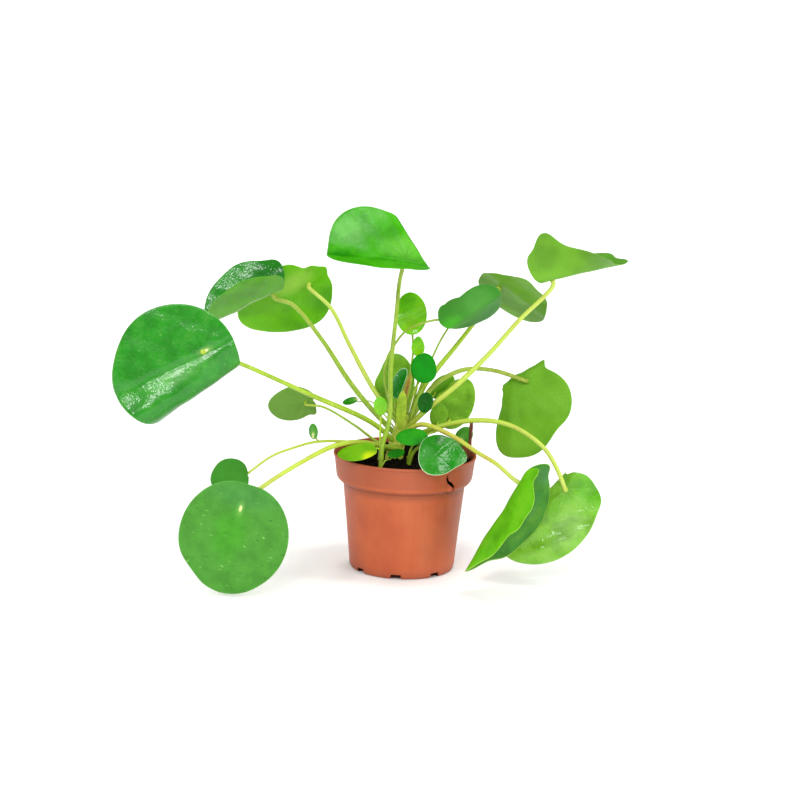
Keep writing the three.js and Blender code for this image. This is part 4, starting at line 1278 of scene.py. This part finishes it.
# %% A leaf finish
def leaf_finish(name, top, under, veins, gloss=0.3, under_gloss=0.42, shine=0.3, glaze=0.0,
                vein_share=0.12, crease_shade=0.3, mottle=0.3, cloud=65, flecks=0.2, dash=0.8, blisters=0.4,
                pimples=(0.05, 0.5), dot=None, rim=0.2, patches=()):
    material, tree, surface, place = finish_of(name)
    at = leaf_places(tree, place, cloud, dash)
    body = leaf_colour(tree, at, top, under, veins, patches, mottle, flecks, vein_share, crease_shade, dot, rim)
    rough = spread(tree, at.side, 0.0, 1.0, under_gloss, gloss, False)
    rough = math_node(tree, "ADD", rough, spread(tree, at.quick, 0.3, 0.7, -0.04, 0.06))
    settle(tree, surface, body, rough, Specular_IOR_Level=shine, Subsurface_Weight=0.1,
           Subsurface_Radius=(0.5, 1.0, 0.2), Subsurface_Scale=1 * MM)
    swell = times(tree, noise(tree, at.flat, 0.4, 1), spread(tree, at.slow, 0.35, 0.65, 0.5, 1.2))
    grain(tree, surface, swell, 0.8 * MM, blisters)
    if glaze:
        surface.inputs["Coat Weight"].default_value = glaze
        surface.inputs["Coat Roughness"].default_value = 0.08
        pimpled = spread(tree, at.side, 0.0, 1.0, *pimples)
        glazed = add(tree, "ShaderNodeBump", 0, None, Height=swell, Strength=pimpled, Distance=1 * MM)
        tree.links.new(glazed, surface.inputs["Coat Normal"])
    return material

# %% [markdown]
# The leaves differ: old ones are deep green, the hanging ones with the light behind them are yellow
# green, and the lowest young one has gone yellow at one end. Each look has a top colour, an underside
# colour and a vein colour, and says where its gloss, glaze, mottling or patches differ from the usual.

# %% The looks
looks = {
    "dark": dict(
        top=tone(35, 146, 18), under=tone(103, 176, 24), veins=tone(140, 205, 90), shine=0.4, glaze=0.5,
        mottle=0.35, flecks=0.35, blisters=0.2, pimples=(0.05, 0.4), dot=-2.0),
    # far_left: its first patch is a painted sheen band along the fold, its second painted shade on the turned
    # lower part.
    "banded": dict(
        top=tone(33, 146, 14), under=tone(103, 176, 24), veins=tone(140, 205, 90), shine=0.4, glaze=0.45,
        mottle=0.35, flecks=0.4, blisters=0.2, pimples=(0.05, 0.4), dot=-2.0,
        patches=[(tone(96, 184, 76), (24, 8), (34, 8), 0.55), (tone(24, 132, 6), (34, 24), (30, 9), 0.5)]),
    # folded_left: its first patch is painted shade at the strip's far end.
    "folded": dict(
        top=tone(41, 150, 30), under=tone(88, 170, 0), veins=tone(140, 205, 90), gloss=0.28, shine=0.25,
        under_gloss=0.6, glaze=0.5, mottle=0.25, flecks=0.1, blisters=0.2, pimples=(0.0, 0.5),
        patches=[(tone(14, 116, 0), (-8, -24), (20, 16), 0.85), (tone(136, 192, 56), (30, 2), (60, 8), 0.3),
                 (tone(78, 154, 0), (20, 22), (20, 11), 0.6)]),
    "mid": dict(
        top=tone(76, 152, 46), under=tone(108, 180, 40), veins=tone(130, 200, 90), gloss=0.36, crease_shade=0.15,
        mottle=0.25, cloud=90, flecks=0.8, dash=0.4, blisters=0.25, dot=1.8, rim=0.35,
        patches=[(tone(66, 162, 14), (24, -4), (24, 15), 0.7),
                 (tone(70, 144, 66), (-9, 0), (13, 34), 0.6)]),
    # top: its third patch is a painted glare near the tip, and its last painted shade below the crease at the
    # tip.
    "top": dict(
        top=tone(68, 174, 0), under=tone(104, 180, 40), veins=tone(150, 214, 110), shine=0.22, mottle=0.35,
        flecks=0.05, blisters=0.14,
        patches=[(tone(112, 198, 60), (0, -8), (24, 12), 0.6), (tone(54, 168, 0), (30, 9), (34, 10), 0.6),
                 (tone(130, 204, 104), (48, -16), (15, 12), 0.35),
                 (tone(16, 128, 0), (53, 5), (12, 5), 0.8)]),
    "shade": dict(
        top=tone(68, 145, 47), under=tone(112, 163, 62), veins=tone(170, 215, 120), shine=0.2, crease_shade=0.05,
        mottle=0.25, cloud=25, flecks=0.04, blisters=0.1),
    "shaded": dict(
        top=tone(58, 138, 34), under=tone(112, 163, 62), veins=tone(170, 215, 120), gloss=0.5, crease_shade=0.05,
        mottle=0.2, cloud=25, flecks=0.02, blisters=0.1,
        patches=[(tone(60, 168, 0), (-5, -5), (12, 9), 0.7), (tone(36, 116, 16), (10, -24), (26, 9), 0.6),
                 (tone(78, 158, 62), (26, 2), (16, 12), 0.4),
                 (tone(44, 124, 30), (34, -26), (18, 12), 0.7)]),
    "bright": dict(
        top=tone(60, 134, 28), under=tone(104, 195, 0), veins=tone(186, 230, 80), shine=0.25,
        under_gloss=0.36, mottle=0.4, cloud=50, blisters=0.25, rim=0.6,
        patches=[(tone(86, 172, 0), (42, -9), (30, 12), 0.7), (tone(90, 152, 92), (-14, 24), (9, 12), 0.5),
                 (tone(40, 124, 62), (16, 26), (18, 8), 0.5)]),
    # bright_left: its pale first patch is painted light shining through the blade, and its darker second
    # patch painted shade.
    "halved": dict(
        top=tone(70, 142, 34), under=tone(106, 196, 0), veins=tone(186, 230, 80), shine=0.25,
        under_gloss=0.36, mottle=0.4, cloud=30, flecks=0.04, blisters=0.25, rim=0.45,
        patches=[(tone(162, 220, 76), (12, 9), (26, 11), 0.85),
                 (tone(78, 164, 0), (-4, -22), (24, 16), 0.7),
                 (tone(128, 210, 0), (46, 2), (14, 22), 0.5)]),
    # low_right: its pale second patch is a painted sheen over the middle of the underside.
    "wet": dict(
        top=tone(90, 160, 40), under=tone(128, 196, 48), veins=tone(200, 238, 150), under_gloss=0.3,
        glaze=0.45, mottle=0.4, flecks=0.3, pimples=(0.6, 0.1),
        patches=[(tone(98, 182, 0), (-14, -16), (18, 24), 1.0),
                 (tone(156, 210, 108), (22, -24), (22, 12), 0.6),
                 (tone(102, 180, 6), (14, -3), (24, 8), 0.6)]),
    "olive": dict(
        top=tone(96, 165, 40), under=tone(109, 175, 24), veins=tone(156, 206, 90), gloss=0.34, shine=0.25,
        under_gloss=0.5, mottle=0.5, cloud=22, flecks=0.04, blisters=0.25, vein_share=0.08),
    "hanging": dict(
        top=tone(96, 165, 40), under=tone(117, 182, 46), veins=tone(156, 206, 90), gloss=0.34, shine=0.25,
        under_gloss=0.5, mottle=0.4, cloud=22, flecks=0.04, blisters=0.25, vein_share=0.08),
    "worn": dict(
        top=tone(118, 184, 30), under=tone(124, 186, 36), veins=tone(184, 222, 110), gloss=0.34, shine=0.25,
        under_gloss=0.5, mottle=0.5, flecks=0.1, blisters=0.25, vein_share=0.08),
    "clear": dict(
        top=tone(114, 204, 0), under=tone(130, 204, 20), veins=tone(190, 232, 70), gloss=0.2, shine=0.4,
        crease_shade=0.08, flecks=0.04, blisters=0.3,
        patches=[(tone(82, 178, 0), (20, 4), (11, 11), 0.7), (tone(142, 214, 0), (0, 2), (9, 10), 0.6)]),
    "deep": dict(
        top=tone(0, 146, 0), under=tone(80, 170, 20), veins=tone(30, 170, 0), shine=0.08, glaze=0.15,
        pimples=(0.0, 0.2), crease_shade=0.0, flecks=0.04, blisters=0.3),
    "fresh": dict(
        top=tone(34, 153, 0), under=tone(80, 170, 20), veins=tone(90, 190, 30), gloss=0.5, shine=0.2,
        crease_shade=0.1, mottle=0.5, flecks=0.05, blisters=0.15),
    # rim_right: its pale third patch is a painted sheen, and its near-white rim line and short pale dashes
    # are painted glints.
    "rippled": dict(
        top=tone(44, 140, 30), under=tone(104, 176, 60), veins=tone(206, 236, 190), shine=0.1, glaze=0.35,
        pimples=(0.0, 0.28), flecks=0.3, dash=0.3, blisters=0.1, rim=0.9,
        patches=[(tone(24, 138, 0), (14, 11), (18, 9), 0.95), (tone(18, 100, 24), (5, -10), (8, 5), 0.8),
                 (tone(110, 176, 108), (23, -8), (8, 6), 0.3)]),
    # inner_folded: its dense near-white dashes are painted glints.
    "painted_glints": dict(
        top=tone(10, 128, 6), under=tone(60, 150, 20), veins=tone(232, 250, 232), gloss=0.2, crease_shade=0.0,
        mottle=0.2, flecks=1.0, rim=0.5),
    "dusky": dict(
        top=tone(14, 106, 0), under=tone(60, 150, 20), veins=tone(110, 190, 90), shine=0.1, glaze=0.1,
        pimples=(0.0, 0.1), mottle=0.6, flecks=0.1, blisters=0.1, rim=0.5),
    "yellow": dict(
        top=tone(107, 176, 0), under=tone(120, 180, 20), veins=tone(190, 218, 40), crease_shade=0.05,
        flecks=0.05,
        patches=[(tone(204, 224, 0), (4, 9), (8, 8), 1.0)]),
}
own_look = {
    "far_left": "banded", "folded_left": "folded", "bright_left": "halved", "top": "top",
    "upper_dark": "shaded", "behind_low_left": "shade", "small_left": "shade", "inner_right_low": "worn",
    "top_right": "hanging", "small_bright": "clear", "bud_upper": "clear", "shoot_left": "clear",
    "rim_left": "yellow", "rim_right": "rippled", "inner_dark": "deep", "inner_folded": "painted_glints",
    "inner_small_dark": "dusky", "front": "fresh", "soil_level": "fresh", "low_right": "wet",
    "inner_right": "worn", "inner_back": "worn",
}
leaf_finishes = {look: leaf_finish("leaf_" + look, **values) for look, values in looks.items()}


def look_of(leaf):
    return leaf_finishes[own_look.get(leaf["name"], leaf["look"])]

# %% [markdown]
# ## Stalks
#
# A stalk is a round tube along a smooth path. The path is a spline through the table's points, worked
# out as evenly spaced points, and Geometry Nodes sweep a circle along it: the same tree serves every
# stalk, with its own radii. The share of the way along is kept as an attribute for the colour.

# %% A smooth path
steps_between = 40


def smooth_path(route, count):
    """Evenly spaced points on a centripetal spline through the route."""
    route = [np.array(p, float) for p in route]
    route = [2 * route[0] - route[1], *route, 2 * route[-1] - route[-2]]
    fine = []
    for p0, p1, p2, p3 in zip(route, route[1:], route[2:], route[3:]):
        t0, t1, t2 = (max(np.linalg.norm(b - a) ** 0.5, 1e-4) for a, b in ((p0, p1), (p1, p2), (p2, p3)))
        m1 = t1 * ((p1 - p0) / t0 - (p2 - p0) / (t0 + t1) + (p2 - p1) / t1)
        m2 = t1 * ((p2 - p1) / t1 - (p3 - p1) / (t1 + t2) + (p3 - p2) / t2)
        for t in np.linspace(0, 1, steps_between, endpoint=False):
            fine.append((2 * t ** 3 - 3 * t ** 2 + 1) * p1 + (t ** 3 - 2 * t ** 2 + t) * m1
                        + (3 * t ** 2 - 2 * t ** 3) * p2 + (t ** 3 - t ** 2) * m2)
    fine.append(route[-2])
    fine = np.array(fine)
    lengths = np.concatenate([[0], np.cumsum(np.linalg.norm(np.diff(fine, axis=0), axis=1))])
    even = np.linspace(0, lengths[-1], count)
    return np.stack([np.interp(even, lengths, fine[:, i]) for i in range(3)], 1)

# %% A tree that sweeps a stalk
taper_starts, taper_ends = 1 / 3, 2 / 3
foot_share = 0.07
end_starts, end_swelling = 0.965, 0.18

stalk_tree, source, result = group_with("sweep_stalk", [
    ("Root radius", "NodeSocketFloat", 2 * MM), ("Top radius", "NodeSocketFloat", 1.7 * MM),
    ("Foot swelling", "NodeSocketFloat", 0.25), ("Sides", "NodeSocketInt", 16),
    ("Finish", "NodeSocketMaterial", None),
])
line = add(stalk_tree, "GeometryNodeMeshToCurve", 0, None, Mesh=source.outputs["Geometry"])
share = add(stalk_tree, "GeometryNodeSplineParameter", 0)
line = add(stalk_tree, "GeometryNodeStoreNamedAttribute", 0, {"data_type": "FLOAT", "domain": "POINT"},
           Geometry=line, Name="along", Value=share)
radius = spread(stalk_tree, share, taper_starts, taper_ends,
                source.outputs["Root radius"], source.outputs["Top radius"])
swelling = math_node(stalk_tree, "ADD",
                     spread(stalk_tree, share, 0.0, foot_share, source.outputs["Foot swelling"], 0.0),
                     spread(stalk_tree, share, end_starts, 1.0, 0.0, end_swelling))
radius = times(stalk_tree, radius, math_node(stalk_tree, "ADD", swelling, 1.0))
ring = add(stalk_tree, "GeometryNodeCurvePrimitiveCircle", 0, None, Resolution=source.outputs["Sides"],
           Radius=1.0)
tube = add(stalk_tree, "GeometryNodeCurveToMesh", 0, None, Curve=line, Profile_Curve=ring, Scale=radius,
           Fill_Caps=True)
tube = add(stalk_tree, "GeometryNodeSetShadeSmooth", 0, None, Geometry=tube)
tube = add(stalk_tree, "GeometryNodeRealizeInstances", 0, None, Geometry=tube)
tube = add(stalk_tree, "GeometryNodeSetMaterial", 0, None, Geometry=tube, Material=source.outputs["Finish"])
stalk_tree.links.new(tube, result.inputs["Geometry"])

# %% Sweep along a path
thick_stalk = 3
top_thinning = 0.84
into_blade = 0.25


def swept(name, path, root, top, finish, sides=16, swelling=0.25):
    mesh = bpy.data.meshes.new("path")
    mesh.from_pydata([tuple(p) for p in path * MM], [(i, i + 1) for i in range(len(path) - 1)], [])
    line = bpy.data.objects.new("path", mesh)
    scene.collection.objects.link(line)
    tube = run_tree(line, stalk_tree, {"Root radius": root * MM, "Top radius": top * MM, "Sides": sides,
                                       "Foot swelling": swelling, "Finish": finish}, name)
    bpy.data.objects.remove(line)
    tube.data.materials.clear()
    tube.data.materials.append(finish)
    return tube


def stalk(leaf, name, finish):
    """The stalk reaches the middle of the blade, which it meets square on."""
    joint = sheet_points(leaf, np.zeros(1), np.zeros(1))[0]
    normal = normals_at(leaf, np.zeros(1), np.zeros(1))[0]
    neck = neck_length / 2 if leaf.get("fused") else neck_length
    route = [*leaf["stalk"], joint - neck * normal, joint - into_blade * normal]
    steps, sides = (90, 18) if leaf["thick"] > thick_stalk else (64, 12)
    root = leaf["thick"] / 2
    return swept(name, smooth_path(route, steps), root, root * top_thinning, finish, sides)

# %% [markdown]
# The stalks are juicy and yellow green, paler near the leaf, with fine lengthwise streaks and a slight
# gloss. The colour follows the share of the way along, and the streaks are noise stretched up and down.

# %% The stalks' finish
streak_tone = tone(222, 230, 130)


def stalk_finish(name, root, middle, end, blush, blushing):
    material, tree, surface, place = finish_of(name)
    along = add(tree, "ShaderNodeAttribute", 2, {"attribute_name": "along"})
    streaks = noise(tree, stretched(tree, place, 1, 1, 0.12), 900, 3)
    patches = noise(tree, place, 70, 3)
    colour = layered(tree, root, (spread(tree, along, 0.0, 0.3), middle),
                     (spread(tree, along, 0.6, 1.0), end),
                     (spread(tree, patches, 0.45, 0.7, 0, blushing), blush),
                     (spread(tree, streaks, 0.5, 0.75, 0, 0.4), streak_tone))
    settle(tree, surface, colour, 0.36, Subsurface_Weight=0.15, Subsurface_Radius=(0.7, 1.0, 0.3),
           Subsurface_Scale=1.5 * MM)
    grain(tree, surface, streaks, 0.2 * MM, 0.4)
    return material


stalk_tones = {
    "pale": (tone(150, 190, 40), tone(192, 218, 74), tone(204, 224, 96), tone(190, 172, 70), 0.35),
    "blushed": (tone(188, 198, 60), tone(200, 208, 74), tone(196, 216, 84), tone(212, 170, 84), 0.5),
    "turning": (tone(170, 206, 36), tone(160, 186, 60), tone(160, 178, 66), tone(130, 160, 40), 0.3),
    "green": (tone(146, 182, 34), tone(172, 208, 52), tone(184, 212, 66), tone(140, 174, 36), 0.45),
    "deep": (tone(142, 182, 34), tone(148, 184, 46), tone(164, 192, 60), tone(122, 148, 34), 0.45),
}
stalk_finishes = {shade: stalk_finish("stalk_" + shade, *tones) for shade, tones in stalk_tones.items()}
stalk_shades = {
    "bright_left": "pale", "low_left": "pale", "top_right": "pale", "low_right": "pale",
    "folded_right": "blushed", "behind_low_left": "pale", "right": "turning", "folded_left": "deep",
    "top": "deep", "upper_dark": "deep", "hidden_upper": "deep", "inner_back": "deep",
    "small_bright": "deep",
}


def stalk_look(leaf):
    return stalk_finishes[stalk_shades.get(leaf["name"], "green")]

# %% [markdown]
# ## Putting leaves and stalks together
#
# A leaf that is one solid with its stalk becomes one piece as well, so its blade and tube are joined.
# The others stay two pieces, as they are two solids.

# %% Joining
def joined(things, name):
    first = things[0]
    with acting_on(things):
        bpy.ops.object.join()
    first.name = name
    first.data.name = name
    return first


total = 0
for leaf in leaves:
    name = leaf["name"]
    tube = stalk(leaf, "stalk_of_" + name, stalk_look(leaf))
    sheet = blade(leaf, look_of(leaf))
    if leaf.get("fused"):
        things = [piece(joined([sheet, tube], "young_leaf_" + name), ["leaf_" + name])]
    else:
        sheet.name = "leaf_" + name + "_blade"
        things = [piece(tube, ["stalk_" + name]), piece(sheet, ["blade_" + name])]
    total += sum(triangles(thing) for thing in things)
print("leaves and stalks:", total, "triangles")

# %% [markdown]
# ## Young shoots
#
# Each shoot is one piece: its short trunk and the stalks that leave it are swept and joined. Its blades
# are pieces of their own.

# %% Shoots
trunk_steps = 30
trunk_sides = 18
trunk_swelling = 0.4

for shoot in shoots:
    radius = shoot["thick"] / 2
    trunk = smooth_path(shoot["stem"], trunk_steps)
    tubes = [swept("trunk", trunk, radius, radius, stalk_finishes["deep"], trunk_sides, trunk_swelling)]
    for leaf in shoot["leaves"]:
        tubes.append(stalk(leaf, "side_stalk", stalk_look(leaf)))
        sheet = blade(leaf, look_of(leaf))
        sheet.name = "leaf_" + leaf["name"] + "_blade"
        piece(sheet, ["blade_" + leaf["name"]])
    piece(joined(tubes, "young_shoot_" + shoot["name"]), ["shoot_" + shoot["name"]])
print("shoots:", len(shoots))

# %% [markdown]
# ## The main stem
#
# The stem is short, thick and woody, ringed by the scars of old leaves. Its tube is built ring by ring,
# because its radius changes, and then roughened: knobs and scars push its points out.
# The bark is yellow green with brown fibres.

# %% The stem's finish
stem_bark, tree, surface, place = finish_of("stem_bark")
fibres = noise(tree, stretched(tree, place, 1, 1, 0.3), 500, 5, 0.65)
patches = noise(tree, place, 120, 4)
colour = layered(tree, tone(172, 200, 56), (spread(tree, patches, 0.35, 0.65), tone(204, 220, 86)),
                 (spread(tree, fibres, 0.45, 0.7, 0, 0.4), tone(116, 104, 44)))
settle(tree, surface, colour, 0.7)
grain(tree, surface, fibres, 0.8 * MM, 0.8)

# %% Roughened wood
knob_scale = 0.22
scar_turn, scar_tilt, scar_sharpness = 1.15, 0.12, 6


def roughened(thing, knobs, scars=0.0, seed=0.0):
    """Pushes a thing's points out by knobs, and by rings of scars up its length."""
    mesh = thing.data
    bpy.context.view_layer.update()
    points = np.array([v.co for v in mesh.vertices]) / MM
    normals = np.array([v.normal for v in mesh.vertices])
    push = [
        knobs * solid_noise.fractal(Vector(p) * knob_scale + Vector((seed, 0, 0)), 1.0, 2.0, 3)
        + scars * max(0.0, math.sin(p[2] * scar_turn + scar_tilt * p[0])) ** scar_sharpness
        for p in points
    ]
    points += np.array(push)[:, None] * normals
    mesh.vertices.foreach_set("co", (points * MM).ravel())
    mesh.update()
    return thing

# %% The stem
def radius_path(name, path, radii, sides, finish):
    """A tube whose radius changes along it, built ring by ring."""
    steps = len(path)
    sizes = np.interp(np.linspace(0, len(radii) - 1, steps), range(len(radii)), radii)
    forward = np.gradient(path, axis=0)
    forward /= np.linalg.norm(forward, axis=1)[:, None]
    side = np.cross(forward, (0, 1, 0))
    side /= np.linalg.norm(side, axis=1)[:, None]
    other = np.cross(forward, side)
    turn = np.arange(sides) / sides * 2 * math.pi
    rings = path[:, None] + sizes[:, None, None] * (
        np.cos(turn)[:, None] * side[:, None] + np.sin(turn)[:, None] * other[:, None])
    points = np.vstack([rings.reshape(-1, 3), path[:1], path[-1:]])
    foot, top, last = steps * sides, steps * sides + 1, (steps - 1) * sides
    faces = []
    for j in range(sides):
        k = (j + 1) % sides
        faces += [(i + j, i + k, i + sides + k, i + sides + j) for i in range(0, last, sides)]
        faces += [(foot, k, j), (top, last + j, last + k)]
    return mesh_object(name, points, faces, [finish])


stem = radius_path("woody_stem", smooth_path(stem_path, 110), stem_radii, 40, stem_bark)
piece(roughened(stem, 0.5, 0.35), ["main_stem"])
print("stem:", triangles(stem), "triangles")

# %% [markdown]
# ## Scales and the dry stick
#
# Two papery scales sheath the stalks' roots: a dry one, brown along its middle, and a young yellow one.
# A dry twig stands in the soil at the right, darker and rough.

# %% Scales
scale_looks = {
    "scale_brown": dict(
        name="dry_scale", top=tone(156, 172, 56), under=tone(150, 156, 50), veins=tone(190, 170, 80),
        patches=[(tone(160, 96, 40), (14, 0), (15, 1.7), 0.85)]),
    "scale_yellow": dict(
        name="young_scale", top=tone(170, 206, 50), under=tone(160, 180, 50), veins=tone(228, 222, 90),
        rim=0.8),
}
for entry in scales:
    look = scale_looks[entry["name"]]
    sheet = blade(entry, leaf_finish(gloss=0.5, mottle=0.6, vein_share=0.2, **look))
    sheet.name = "papery_" + entry["name"]
    piece(sheet, [entry["name"]])

# %% The dry stick
twig_bark, tree, surface, place = finish_of("twig_bark")
fibres = noise(tree, stretched(tree, place, 1, 1, 0.15), 700, 4, 0.7)
colour = blend_colours(tree, spread(tree, fibres, 0.35, 0.7), tone(92, 48, 34), tone(170, 96, 62))
settle(tree, surface, colour, 0.75)
grain(tree, surface, fibres, 0.6 * MM, 0.8)
twig_path = smooth_path(dry_stick, 60)
twig = radius_path("dry_twig", twig_path, [dry_stick_radius, dry_stick_radius], 20, twig_bark)
piece(roughened(twig, 0.25, seed=7.0), ["dry_stick"])
print("twig:", triangles(twig), "triangles")

# %% [markdown]
# ## Count the pieces
#
# The dressed plant has to fill the same box as the plain solids. Here the pieces and their triangles are
# counted.

# %% Pieces and triangles
everything = [thing for thing in scene.objects if thing.type == "MESH" and thing.get("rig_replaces")]
print("pieces:", len(everything), "triangles:", sum(triangles(thing) for thing in everything))
